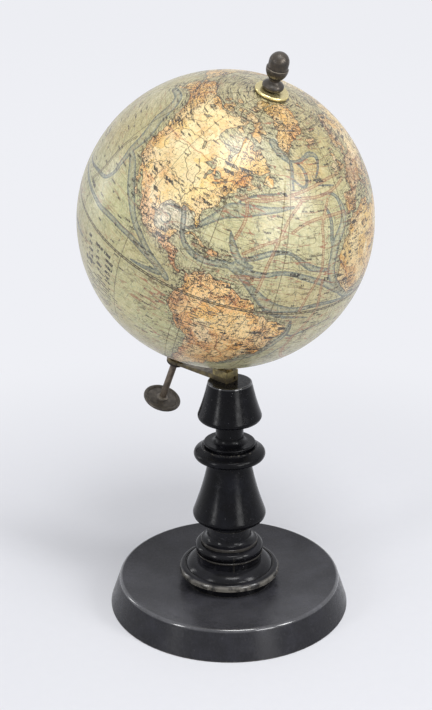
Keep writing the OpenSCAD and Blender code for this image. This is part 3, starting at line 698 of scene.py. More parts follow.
# %% Finishes inside the ball
def soft_matter(name, light, dark, scale, rough=0.85, stretch=(1.0, 1.0, 1.0)):
    finish = bpy.data.materials.new(name)
    tree = blank(finish)
    place = use(tree, millimetres)["Place"]
    laid = put(tree, "ShaderNodeMapping", {"Vector": place, "Rotation": (0, axis_lean, 0),
                                           "Scale": stretch}).outputs[0]
    fibres = noise(tree, laid, scale, 7, 0.65)
    clouds = noise(tree, place, scale * 0.12, 4)
    coloured = mix(tree, step(tree, fibres, 0.35, 0.7), tone(light), tone(dark))
    coloured = mix(tree, step(tree, clouds, 0.4, 0.75, 0.0, 0.45), coloured, tone(dark))
    bump = put(tree, "ShaderNodeBump", {"Height": fibres, "Strength": 0.6, "Distance": 0.0002})
    shader = put(tree, "ShaderNodeBsdfPrincipled", {
        "Base Color": coloured, "Roughness": step(tree, fibres, 0.2, 0.8, rough - 0.1, rough + 0.1),
        "Normal": bump.outputs[0]})
    put(tree, "ShaderNodeOutputMaterial", {0: shader.outputs[0]})
    return finish


dress("center_strut", soft_matter("pine post", "C99B63", "9A6D3E", 1.2, 0.7, (1.0, 1.0, 0.05)))
for half in ("shell_north", "shell_south"):
    dress(half, soft_matter("papier mache " + half[6:], "A89A7C", "7C705A", 0.5))
dress("joint_strip", soft_matter("band paper", "D2C7A4", "A99B78", 0.8))
dress("plaster_coat", soft_matter("plaster", "E6E2D4", "CFC8B4", 0.9, 0.9))
print("dressed the inner nodes")

# %% [markdown]
# ## The map: a net of measured distances
# The map is not a picture. Coasts, rivers, borders, currents and routes are short lists of
# longitude and latitude. A net of points a third of a millimetre apart covers the ball, and
# for every point numpy works out how far it lies from the nearest coast, stream or border. The
# gores take these distances as attributes, and the finish draws lines, bands and coasts from
# them at any sharpness.

# %% Net over the ball
net_step = 0.25
mm_per_degree = math.pi * ball_r / 180
net_lat = np.arange(-90, 90 + net_step / 2, net_step)
net_lon = np.arange(-180, 180, net_step)
turns = len(net_lon)
squeeze = np.maximum(np.cos(np.radians(net_lat)), 0.02)
overlap = 160  # columns past 180 degrees east, for land that reaches over that meridian
print("net:", len(net_lat), "rows by", turns, "columns")

# %% [markdown]
# ## Crinkled lines
# The listed lines are coarse. A line is broken in two again and again, and each new point
# is moved a little across it by chance, until all steps are short. The dice always fall the same.

# %% Crinkled lines
dice = np.random.default_rng(7)


def crinkled(line, closed, finest=0.55, amount=0.13):
    """Breaks a coarse line into short steps with natural crinkles, as a coast has."""
    points = [np.array(p, float) for p in line] + ([np.array(line[0], float)] if closed else [])
    while True:
        out, changed = [points[0]], False
        for a, b in zip(points, points[1:]):
            narrow = max(math.cos(math.radians((a[1] + b[1]) / 2)), 0.05)
            long = math.hypot((b[0] - a[0]) * narrow, b[1] - a[1]) * mm_per_degree
            if long > finest:
                across = np.array([-(b[1] - a[1]) / narrow, (b[0] - a[0]) * narrow])
                out.append((a + b) / 2 + across * dice.normal(0, amount))
                changed = True
            out.append(b)
        points = out
        if not changed:
            return points


print("crinkled lines ready, one degree is", round(mm_per_degree, 3), "mm")

# %% [markdown]
# ## Distances
# Only the part of the net near a short line is worked on. There every point gets its distance
# to the line in millimetres on the ball, the side it lies on and how far along it is.

# %% Distances
def window(a, b, reach):
    """Rows and columns of the net near one short line."""
    margin = reach / mm_per_degree
    low, high = min(a[1], b[1]) - margin, max(a[1], b[1]) + margin
    first, last = int((low + 90) / net_step), int((high + 90) / net_step) + 2
    rows = np.arange(max(0, first), min(len(net_lat), last))
    side = margin / max(squeeze[rows].min(), 0.06)
    left, right = min(a[0], b[0]) - side, max(a[0], b[0]) + side
    columns = np.arange(int((left + 180) // net_step), int((right + 180) // net_step) + 2)
    return rows, columns[:turns]


def near_line(a, b, reach):
    """For the net round one short line: where, distance, share along it, side and length."""
    rows, columns = window(a, b, reach)
    narrow = squeeze[rows][:, None]
    x = (columns * net_step - 180 - a[0])[None, :] * narrow * mm_per_degree
    y = ((net_lat[rows] - a[1]) * mm_per_degree)[:, None] + 0 * x
    dx, dy = (b[0] - a[0]) * narrow * mm_per_degree, (b[1] - a[1]) * mm_per_degree
    long2 = dx * dx + dy * dy + 1e-9
    share = np.clip((x * dx + y * dy) / long2, 0, 1)
    gap = np.hypot(x - share * dx, y - share * dy)
    return np.ix_(rows, columns % turns), gap, share, np.sign(x * dy - y * dx), np.sqrt(long2)


def lay_lines(lines, reach):
    """Distance in mm to the nearest line, which side of it a point is on, and how far along."""
    far = np.full((len(net_lat), turns), reach)
    side, along = np.ones_like(far), np.zeros_like(far)
    for line in lines:
        walked = 0.0
        for a, b in zip(line, line[1:]):
            at, gap, share, sign, long = near_line(a, b, reach)
            closer = gap < far[at]
            far[at] = np.where(closer, gap, far[at])
            side[at] = np.where(closer, sign, side[at])
            along[at] = np.where(closer, walked + share * long, along[at])
            walked += float(long.mean())
    return far, side, along


print("distances are kept on", len(net_lat) * turns, "points")

# %% [markdown]
# ## Inside or outside
# A point is inside an outline if a line from it to the east edge crosses the outline an odd
# number of times. Each edge of an outline turns all points beyond it over, from out to in or back.

# %% Inside or outside
def inside(outlines):
    """True where a point of the net lies inside an odd number of the closed outlines."""
    wide = np.zeros((len(net_lat), turns + overlap), bool)
    for line in outlines:
        for a, b in zip(line, line[1:]):
            low, high = sorted((a[1], b[1]))
            rows = np.nonzero((net_lat >= low) & (net_lat < high))[0]
            for row in rows:
                lon = a[0] + (b[0] - a[0]) * (net_lat[row] - a[1]) / (b[1] - a[1])
                wide[row, max(0, int(math.ceil((lon + 180) / net_step))):] ^= True
    wide[:, :overlap] |= wide[:, turns:]
    return wide[:, :turns]


print("overlap past 180 degrees east:", overlap * net_step, "degrees")

# %% [markdown]
# ## Coasts
# The outlines are in degrees east and north, roughly as an engraver of the time drew them.
# Lakes are outlines too: a point inside both land and lake lies inside an even number of
# outlines, and so counts as water.

# %% Coasts
SHORES = {
    "america": [(-168,65.6), (-164,66.6), (-162,66.9), (-166,68.4), (-163,69.2), (-156.6,71.3),
        (-150,70.5), (-141,69.7), (-135,69.2), (-130,70.2), (-127,69.8), (-124,69.6), (-118,69),
        (-115,68.2), (-110,67.9), (-108,68.2), (-102,67.8), (-98,68.1), (-96,68.3), (-94.8,71.8),
        (-92,69.8), (-90,68.7), (-87.5,67.5), (-85,69.5), (-81.5,69.2), (-82,67.3), (-86,66.3),
        (-87.5,64.5), (-91,63.5), (-94,61.3), (-94.5,58.8), (-92.5,57), (-88,56.4), (-85,55.3),
        (-82.3,55.1), (-82,52.9), (-80,51.2), (-78.8,51.8), (-79,54.5), (-77,56.2), (-77.2,58.5),
        (-78,60.5), (-77.5,62.4), (-74,62.2), (-70,61), (-69.8,59), (-67.3,58.3), (-65.5,59.7),
        (-64.5,60.3), (-62,57.5), (-60,55.2), (-57,53.5), (-55.7,52.3), (-58.5,51.3), (-60.5,50.2),
        (-66,50.2), (-69,48.5), (-71,46.9), (-68.5,48.3), (-65,49.2), (-64.4,48.2), (-65.4,47.5),
        (-64.3,46.2), (-61.5,45.8), (-60.2,46.8), (-60.8,45.4), (-63.5,44.5), (-65.8,43.5),
        (-66.2,44.4), (-64.5,45.4), (-67,44.8), (-70,43.7), (-70.8,42.5), (-70,41.8), (-72,41.2),
        (-74,40.6), (-74.3,39.5), (-75.3,38.6), (-76,37), (-75.6,35.3), (-77.5,34.2), (-79.3,33),
        (-81.2,31.5), (-81.3,29.5), (-80.2,27), (-80.4,25.2), (-81.3,25.2), (-82.1,26.7), (-82.8,28),
        (-82.9,29.2), (-84,30), (-85.3,29.7), (-87.5,30.3), (-89.3,30.3), (-89.3,29.1), (-91,29.3),
        (-94,29.6), (-96.5,28.3), (-97.4,27), (-97.5,25), (-97.8,22.5), (-96.6,19.5), (-95,18.5),
        (-93,18.4), (-91,18.6), (-90.4,20.6), (-88,21.5), (-86.8,21.3), (-87.5,19.5), (-88.2,18.2),
        (-88.6,16), (-86,15.9), (-83.3,15), (-83.7,12.5), (-83.5,11), (-82.2,9.1), (-80,9.1),
        (-79,9.5), (-77.4,8.7), (-76.7,8.3), (-75.6,9.8), (-74.8,11), (-73,11.3), (-71.6,12.4),
        (-71.4,10.8), (-70.2,11.8), (-68.3,10.7), (-66,10.5), (-64,10.3), (-62,10.7), (-61.5,9.6),
        (-60.2,8.5), (-58.5,7.3), (-57,6), (-54,5.9), (-52,4.8), (-51,3.8), (-50,1.8), (-50.4,0.2),
        (-48.7,-0.6), (-47,-0.7), (-44.6,-1.9), (-44,-2.7), (-42,-2.8), (-40,-2.9), (-38.5,-3.7),
        (-37,-4.8), (-35.3,-5.2), (-34.8,-7.2), (-35.1,-9), (-36.5,-10.7), (-38,-12.7), (-39,-14),
        (-39,-16.5), (-39.8,-19.3), (-41,-22), (-43,-23), (-44.7,-23.1), (-46.5,-24.1), (-48.4,-25.8),
        (-48.7,-28.2), (-50.3,-30.3), (-52,-32.2), (-53.5,-34), (-56,-34.9), (-58.3,-34), (-57.2,-36),
        (-57.7,-38.2), (-62,-38.9), (-62.3,-40.7), (-65,-41), (-63.8,-42.5), (-65.3,-43.8),
        (-65.6,-45), (-67.5,-46), (-66,-48), (-68.5,-50), (-69,-52), (-68.3,-53.2), (-65.3,-54.7),
        (-68,-55.6), (-72,-54), (-74.3,-52), (-75.5,-49), (-75.4,-46.7), (-73.2,-44.5), (-72.8,-42),
        (-73.9,-41), (-73.2,-39), (-73.5,-37), (-72,-34.5), (-71.6,-32.5), (-71.5,-30), (-70.7,-27),
        (-70.4,-23.5), (-70.2,-19.8), (-70.6,-18.2), (-72.5,-17), (-75,-15.5), (-76.3,-13.8),
        (-77.2,-12), (-78.5,-9.3), (-79.8,-7.2), (-81.1,-6), (-81.2,-4.4), (-80,-3.2), (-80.9,-2.2),
        (-80.3,-0.5), (-79.8,0.9), (-78.7,1.8), (-77.2,3.8), (-77.5,5.7), (-78,7.6), (-79,8.8),
        (-80.4,8.2), (-80.5,7.3), (-82,8.1), (-83.2,8.5), (-84.8,9.7), (-85.8,10.8), (-87.6,12.9),
        (-89.5,13.3), (-92,14.4), (-94.5,16.2), (-96.5,15.7), (-99.5,16.7), (-102,17.9), (-105.3,20.3),
        (-105.5,22), (-108,25), (-109.3,26.5), (-111,28.2), (-112.8,30.3), (-114.6,31.7), (-114.6,30),
        (-112.9,28.1), (-111.2,25.7), (-109.6,23.8), (-110.1,22.9), (-112,24.8), (-112.3,26.2),
        (-114.9,27.7), (-114.3,28.6), (-116,30.7), (-117.2,32.7), (-118.6,34), (-120.6,34.6),
        (-121.9,36.6), (-122.5,37.8), (-123.8,39.5), (-124.3,41.7), (-124.2,44), (-124,46.3),
        (-124.6,48.3), (-122.6,48.4), (-124.5,50), (-127.5,51.5), (-130,54.5), (-132,56.5),
        (-135,58.3), (-138,59.2), (-141,60), (-144.5,60.1), (-148,60.3), (-151.7,59.2), (-151,61),
        (-154,59.2), (-156.5,57.3), (-160,55.5), (-164.5,54.6), (-161,56), (-158,57.7), (-157.6,58.8),
        (-162,58.7), (-164.5,60.5), (-166,61.7), (-164.8,63), (-161,64.1), (-162,64.7), (-166.5,64.5)],
    "greenland": [(-73,78.3), (-68,80), (-60,82), (-45,82.8), (-30,83.5), (-20,82), (-18,80),
        (-18.5,77), (-21,75), (-20,73.5), (-22.5,71.8), (-22,70.3), (-26,68.6), (-32,68), (-37,66),
        (-40,65), (-41.5,63), (-43,60.1), (-46,60.7), (-48.5,61.5), (-51.5,64), (-53.5,67), (-51,69.3),
        (-54.5,71), (-55.5,73), (-58.5,75.5), (-66,76.2), (-71,77)],
    "baffin": [(-65,61.8), (-68,62.4), (-72,63.4), (-74,64.5), (-78,64.5), (-74,65.8), (-72.6,67.6),
        (-76.5,68.8), (-79,70), (-86,70), (-89,71.5), (-88,73.5), (-82,73.7), (-77,72.7), (-71.5,71.2),
        (-67.5,69.5), (-67,68.5), (-62,67), (-62.8,66), (-67.5,65.4), (-66,64), (-64.6,63.2),
        (-66,62.4)],
    "ellesmere": [(-78,76.2), (-88,76.4), (-87,78.5), (-92,80), (-85,82.3), (-70,83.1), (-62,82.4),
        (-68,80.8), (-75.5,79), (-76,77.5)],
    "victoria": [(-117,70.7), (-116,73), (-108,73), (-104.5,71), (-101.5,69.5), (-105,69), (-113,68.6),
        (-117,69.5)],
    "banks": [(-125,72), (-123,74.2), (-119,73.8), (-118.5,72.5), (-122.5,71.2)],
    "devon": [(-80,74.8), (-80,75.7), (-90,76.5), (-92,74.8)],
    "somerset": [(-90.3,73.9), (-95.5,74), (-95.5,72.2), (-92.5,72.3)],
    "wales": [(-97,73.7), (-102,73.2), (-100,71.6), (-97,71.7)],
    "melville": [(-106,75), (-107,76.4), (-116,76.3), (-113,74.7)],
    "southampton": [(-87,65.3), (-84,65.8), (-80.5,63.8), (-86,63.6)],
    "newfoundland": [(-59.3,47.7), (-58.4,49.3), (-56,51.5), (-55.5,50), (-53.6,49.3), (-53,47.5),
        (-53.7,46.7), (-55.8,46.9)],
    "vancouver": [(-128.3,50.7), (-125.3,50.2), (-123.5,48.5), (-125.5,48.9)],
    "cuba": [(-84.9,21.9), (-82.5,23.1), (-80,23), (-77,21.7), (-74.3,20.2), (-77.6,19.9),
        (-77.4,20.6), (-79,21.5), (-82,22.4)],
    "hispaniola": [(-74.4,18.5), (-73.2,19.9), (-70,19.8), (-68.4,18.6), (-71,17.9)],
    "jamaica": [(-78.3,18.4), (-76.3,18.1), (-77.3,17.8)],
    "puerto rico": [(-67.2,18.4), (-65.7,18.4), (-66,17.9), (-67.1,18)],
    "iceland": [(-24.3,65.5), (-22,66.4), (-18,66.1), (-14.7,66.2), (-13.6,65), (-18.5,63.4),
        (-22.5,63.9), (-22,64.8)],
    "britain": [(-5.6,50.1), (1.3,51.2), (1.7,52.7), (0.2,53.2), (-1.5,55), (-2,57.5), (-3.3,58.6),
        (-5,58.5), (-6,56.6), (-4.9,54.9), (-3,54), (-4.5,53.2), (-5.2,51.9), (-3,51.4)],
    "ireland": [(-9.8,51.6), (-10,54.2), (-7.5,55.3), (-5.7,54.4), (-6.4,52.2)],
    "old world": [(-9.2,43.2), (-4,43.5), (-1.5,43.4), (-1.2,45.5), (-2.5,47.3), (-4.7,48.3),
        (-1.6,48.7), (-1.5,49.6), (0.2,49.5), (1.6,50.8), (4,51.8), (5,53.3), (8.5,53.7), (8.3,55.5),
        (8.2,57), (10.5,57.7), (10.3,56), (10.5,54.2), (14,54), (18.5,54.6), (21,55.3), (21.5,57.5),
        (24,57.4), (23.5,59.2), (28,59.6), (30,59.9), (26,60.4), (22.5,60), (21.3,61.5), (22.5,63.5),
        (25.3,65), (22.2,65.8), (20.5,63.7), (17.4,61.5), (18.8,59.8), (16.7,57.8), (16,56.2),
        (14.3,55.5), (12.8,55.6), (11.3,58.8), (10.5,59.3), (8,58.1), (5.6,58.8), (5,61.5), (8,63.5),
        (11,65), (13,66.5), (15,68.3), (20,70), (25.8,71), (31,70.3), (41,67), (40.5,66.3), (34,66.7),
        (35,64.3), (38,64), (40.5,65), (44,66.2), (44,68.4), (54,68.3), (60,69.5), (68,68.5), (67,71),
        (70,73), (73,71), (73,68), (76,72), (82,73.5), (90,75.5), (104,77.6), (113,74), (127,73),
        (140,72.5), (160,69.7), (170,69.8), (180,68.9), (190,66), (187,64.3), (181,64.7), (179.5,62.5),
        (170,60), (163.5,59.5), (162.5,56), (156.8,51), (156,57), (163,61.5), (155,59.3), (143,59.3),
        (135.3,54.8), (140.5,53), (140.3,48.5), (135.5,44), (130.7,42.3), (127.5,39.8), (129.4,36.5),
        (126.5,34.5), (126.5,37.7), (124.7,39.8), (121.5,39), (118,39), (119,37.2), (122.5,37),
        (119.3,35), (121.8,31.5), (121.5,28.5), (117,23.5), (110.5,21.3), (108,21.5), (105.8,19),
        (109,13), (106.7,10.4), (104.9,8.7), (102.5,12), (100.5,13.4), (99.3,10.5), (103.5,1.4),
        (101.3,3), (98.5,8), (98.5,13.5), (97,17), (94.5,16), (91.8,22.3), (87,21.3), (82.3,16.7),
        (80.2,13), (79.8,10.3), (77.5,8.1), (74.8,13), (72.8,19), (72.6,21.5), (70,21), (69,22.3),
        (66.7,25), (61.5,25.1), (57,26.8), (51.5,27.9), (48.5,30.2), (50,27), (51.5,25.5), (54,24.2),
        (56.3,26.2), (59.8,22.5), (55.5,17.5), (52,15.7), (45,12.8), (43.3,12.7), (42.7,16), (39,21.3),
        (35,28), (32.6,29.9), (33.8,27.3), (35.5,24), (37.3,21), (37.4,18.8), (39.5,15.5), (43.2,12),
        (44.5,10.4), (51.2,11.9), (50.8,10), (48,4.5), (42.5,-1), (39.5,-4.5), (39.5,-8), (40.5,-11),
        (40.7,-15), (35,-19.8), (35.5,-23.8), (32.6,-26), (32.5,-28.7), (28.5,-32.8), (25.7,-34),
        (20,-34.8), (18.4,-34), (18,-31.5), (15,-26.7), (14.5,-22.5), (11.8,-17.5), (13.7,-12),
        (13.2,-9), (12,-5.5), (9,-1), (9.7,3.5), (8.5,4.6), (6,4.3), (4.5,6.3), (1.2,6), (-2,4.8),
        (-4.5,5.2), (-7.5,4.4), (-9.5,5.7), (-11.5,6.9), (-13.2,8.7), (-15,10.8), (-16.7,12.4),
        (-17.5,14.7), (-16.5,16.5), (-16.3,19.3), (-17,21), (-16,23.7), (-14.5,26.2), (-12.9,27.9),
        (-10.2,29.4), (-9.7,31.5), (-8.5,33.3), (-6.8,34.3), (-5.9,35.8), (-4.5,35.2), (-2,35.1),
        (3,36.8), (8,36.9), (10.2,37.2), (11,35.5), (10.2,34.2), (12,32.9), (15.3,32.3), (19,30.3),
        (20,32), (23,32.5), (25,31.6), (29,30.9), (32.3,31.2), (34.3,31.3), (35.8,35.5), (36,36.8),
        (32,36.1), (28.3,36.7), (26.4,38.7), (26.3,40), (29,41), (31.5,41.3), (35,42), (38.5,41),
        (41.5,41.5), (39,44), (37.5,45.3), (39,47.1), (35,46.3), (33.5,44.5), (32.6,46), (30.7,46.4),
        (28.6,44), (27.8,42.5), (28.6,41.3), (26.3,40.8), (24,40.7), (22.7,40.3), (23.5,38.2),
        (22.8,36.5), (21.3,37.3), (19.4,41), (15,44.5), (13.6,45.6), (12.3,45.2), (12.5,44.2),
        (14,42.6), (16,41.8), (18.4,40.2), (16.9,40.5), (17,39), (15.7,38), (15.8,39.8), (12.3,41.8),
        (10.3,43.4), (8.8,44.4), (6,43.1), (3.1,43.1), (3.2,41.9), (0.7,40.7), (-0.3,39.3), (0.1,38.7),
        (-2,36.8), (-5.4,36.1), (-6.4,36.8), (-8.9,37), (-9.4,38.7), (-8.8,41)],
    "madagascar": [(49.3,-12), (50.5,-15.5), (49.5,-18), (47.5,-23), (45.2,-25.6), (43.7,-23.5),
        (44.3,-20), (44.3,-16.5), (47,-15.3)],
    "australia": [(113.7,-22.5), (114,-26.5), (115.7,-32), (115,-34.2), (118,-35), (121,-33.9),
        (124,-33), (129,-31.7), (131.5,-31.5), (134.5,-33), (136,-34.8), (137.8,-32.8), (138,-35.5),
        (140,-37.5), (143.5,-38.8), (146.3,-39), (149.8,-37.5), (150.3,-35.8), (152.5,-32.5),
        (153.5,-28.5), (153,-25.5), (150.8,-23.3), (149,-20.5), (146.3,-19), (145.5,-15.5),
        (143.7,-14.3), (142.5,-10.8), (141.7,-13.5), (140.9,-17.3), (139.2,-17.4), (137,-15.9),
        (135.6,-14.9), (136.8,-12.2), (132.8,-11.4), (131,-12.3), (129.5,-14.8), (127.8,-14),
        (125,-15.5), (123.5,-17.2), (122.3,-18.2), (119,-20), (116.5,-20.7)],
    "tasmania": [(144.7,-40.8), (148.2,-40.9), (148,-43), (146,-43.5)],
    "new guinea": [(131,-0.8), (134,-0.9), (135,-3.3), (138,-1.7), (141,-2.6), (145,-4.3), (147.8,-6),
        (147.2,-7), (150.7,-10.5), (147,-9.5), (144,-7.7), (142,-9.1), (139,-8.1), (138,-5.8),
        (135,-4.5), (132.8,-4), (133,-2.5)],
    "borneo": [(109,1.5), (110,-1.5), (110.3,-2.9), (114,-3.4), (116,-3.8), (117.5,0.8), (119,1),
        (118,2.5), (117.7,4.2), (119,5.2), (117,7), (115.5,5.5), (113,3.3), (111.3,2.4)],
    "sumatra": [(95.3,5.6), (97.5,5.2), (100.4,2.8), (103.5,0), (104.5,-1.8), (106,-3.2), (105.8,-5.8),
        (104.5,-5.8), (102.2,-3.9), (100.4,-1), (98.7,1.7), (96,4)],
    "java": [(105.3,-6.8), (108.5,-6.6), (111,-6.5), (114.4,-7.8), (114.5,-8.7), (110,-8.1),
        (106.5,-7.4)],
    "sulawesi": [(119.4,-5.5), (119,-3), (120,0.7), (124.8,1.5), (124.3,0.4), (120.7,0.4), (121.3,-1),
        (123.3,-0.9), (121.7,-2), (122.8,-4.4), (121.5,-4.5), (120.8,-2.8), (120.4,-5.5)],
    "luzon": [(120.3,16), (120.8,18.5), (122.2,18.4), (121.6,16), (124,12.7), (121,13.7)],
    "mindanao": [(122,7), (123.5,8.6), (125.5,9.8), (126.5,7.5), (125.5,5.8), (124,7)],
    "honshu": [(131,34.3), (133,35.5), (136,35.7), (137,37), (139,38), (140,40.5), (141.3,41.4),
        (142,39.5), (141,38), (140.7,35.7), (138.5,34.7), (136,33.5), (135,34.6)],
    "kyushu": [(129.8,33), (131,33.9), (131.9,33), (131,31.2)],
    "hokkaido": [(140,41.5), (140.3,43.3), (142,45.5), (145.3,43.5), (143.3,42)],
    "sakhalin": [(142,46), (142.2,50), (142.3,53.8), (143.2,52), (143.7,49)],
    "north zealand": [(172.8,-34.5), (175.4,-36.7), (178.4,-37.7), (177,-39.6), (175.2,-41.6),
        (173.8,-39.3), (174.8,-38)],
    "south zealand": [(172.7,-40.6), (174.3,-41.7), (172.8,-43.8), (171,-45.5), (169.3,-46.6),
        (166.5,-45.9), (168.5,-44), (171.3,-42)],
    "ceylon": [(79.8,8.5), (80.2,9.8), (81.8,7.5), (81,6.1), (80,6.2)],
    "taiwan": [(120.2,23), (121.5,25.2), (121,22)],
    "hainan": [(108.7,19.2), (110.5,20.1), (110.4,18.6), (109,18.3)],
    "svalbard": [(11,79.5), (20,80.2), (27,80), (19,77.5), (15.5,77)],
    "novaya": [(52,71.5), (56,73.5), (68,76.8), (61,76.3), (56.5,72), (57,70.7)],
    "falklands": [(-61,-51.8), (-58,-51.5), (-59,-52.3)],
    "sicily": [(12.5,38), (15.5,38.2), (15.1,36.8)],
    "sardinia": [(8.4,41), (9.7,41), (9.5,39.2), (8.5,39)],
    "crete": [(23.6,35.5), (26.2,35.2), (24.8,34.9)],
    "superior": [(-92,46.8), (-90,47.8), (-88,48.7), (-85,47.8), (-84.6,46.6), (-87.5,46.5), (-90,46.8)],
    "michigan": [(-87.7,41.7), (-87.8,43.5), (-87,45.5), (-85,45.9), (-86.3,43.8), (-86.6,41.8)],
    "huron": [(-84,46), (-81.5,46), (-80,44.6), (-81.7,43.3), (-82.5,43.1), (-83.5,44.2)],
    "erie": [(-83.2,41.7), (-81,41.8), (-79,42.8), (-81,42.6), (-82.8,42.1)],
    "ontario": [(-79.7,43.3), (-77,43.3), (-76.3,44), (-78.5,43.9)],
    "winnipeg": [(-97,50.5), (-98.5,52.5), (-98.8,53.8), (-97.5,53.5), (-96.5,51.2)],
    "slave lake": [(-116.5,61), (-114,62.3), (-110,62.7), (-112,61.2)],
    "bear lake": [(-124,65.5), (-121,66.8), (-118,66.3), (-121,65)],
    "caspian": [(47,44.5), (50,47), (53,46.8), (51,44.8), (53,41.5), (53.8,37.2), (50,37.3), (49,40.3),
        (47.5,42.8)],
    "aral": [(58.3,44.5), (60,46.5), (61.7,46), (59.5,43.7)],
    "baikal": [(104,51.6), (107,53), (109.8,55.7), (108,53.2), (105,51.4)],
    "victoria lake": [(32,-1), (34,0.2), (34,-2), (32.5,-2.6)],
}
SOUTHLAND = [(-180,-78), (-160,-77.5), (-140,-74.5), (-120,-73.5), (-100,-72.5), (-80,-73), (-68,-70),
    (-60,-64), (-62,-67), (-60,-74), (-40,-78), (-20,-73), (0,-70), (20,-69.5), (40,-68.5), (60,-67),
    (80,-67), (100,-65.8), (120,-66.5), (140,-66.5), (160,-70), (170,-72.5), (165,-77), (180,-78)]
coast_lines = [crinkled(line, closed=True) for line in SHORES.values()]
southern_shore = crinkled(SOUTHLAND, closed=False)
round_the_pole = southern_shore + [(180, -90.1), (-180, -90.1), (-180, -78)]
coast_reach = 4.0
shore = lay_lines(coast_lines + [southern_shore], coast_reach)[0]
coast = np.where(inside(coast_lines + [round_the_pole]), shore, -shore)
print("coast points:", sum(map(len, coast_lines)), "land share:", round(float((coast > 0).mean()), 3))

# %% [markdown]
# ## Currents
# Ocean currents are printed as blue-grey ribbons with darker edges. A ribbon's edge lies
# somewhat more than half its width from its middle line. A point keeps its distance to that
# edge, which is below zero inside the ribbon.

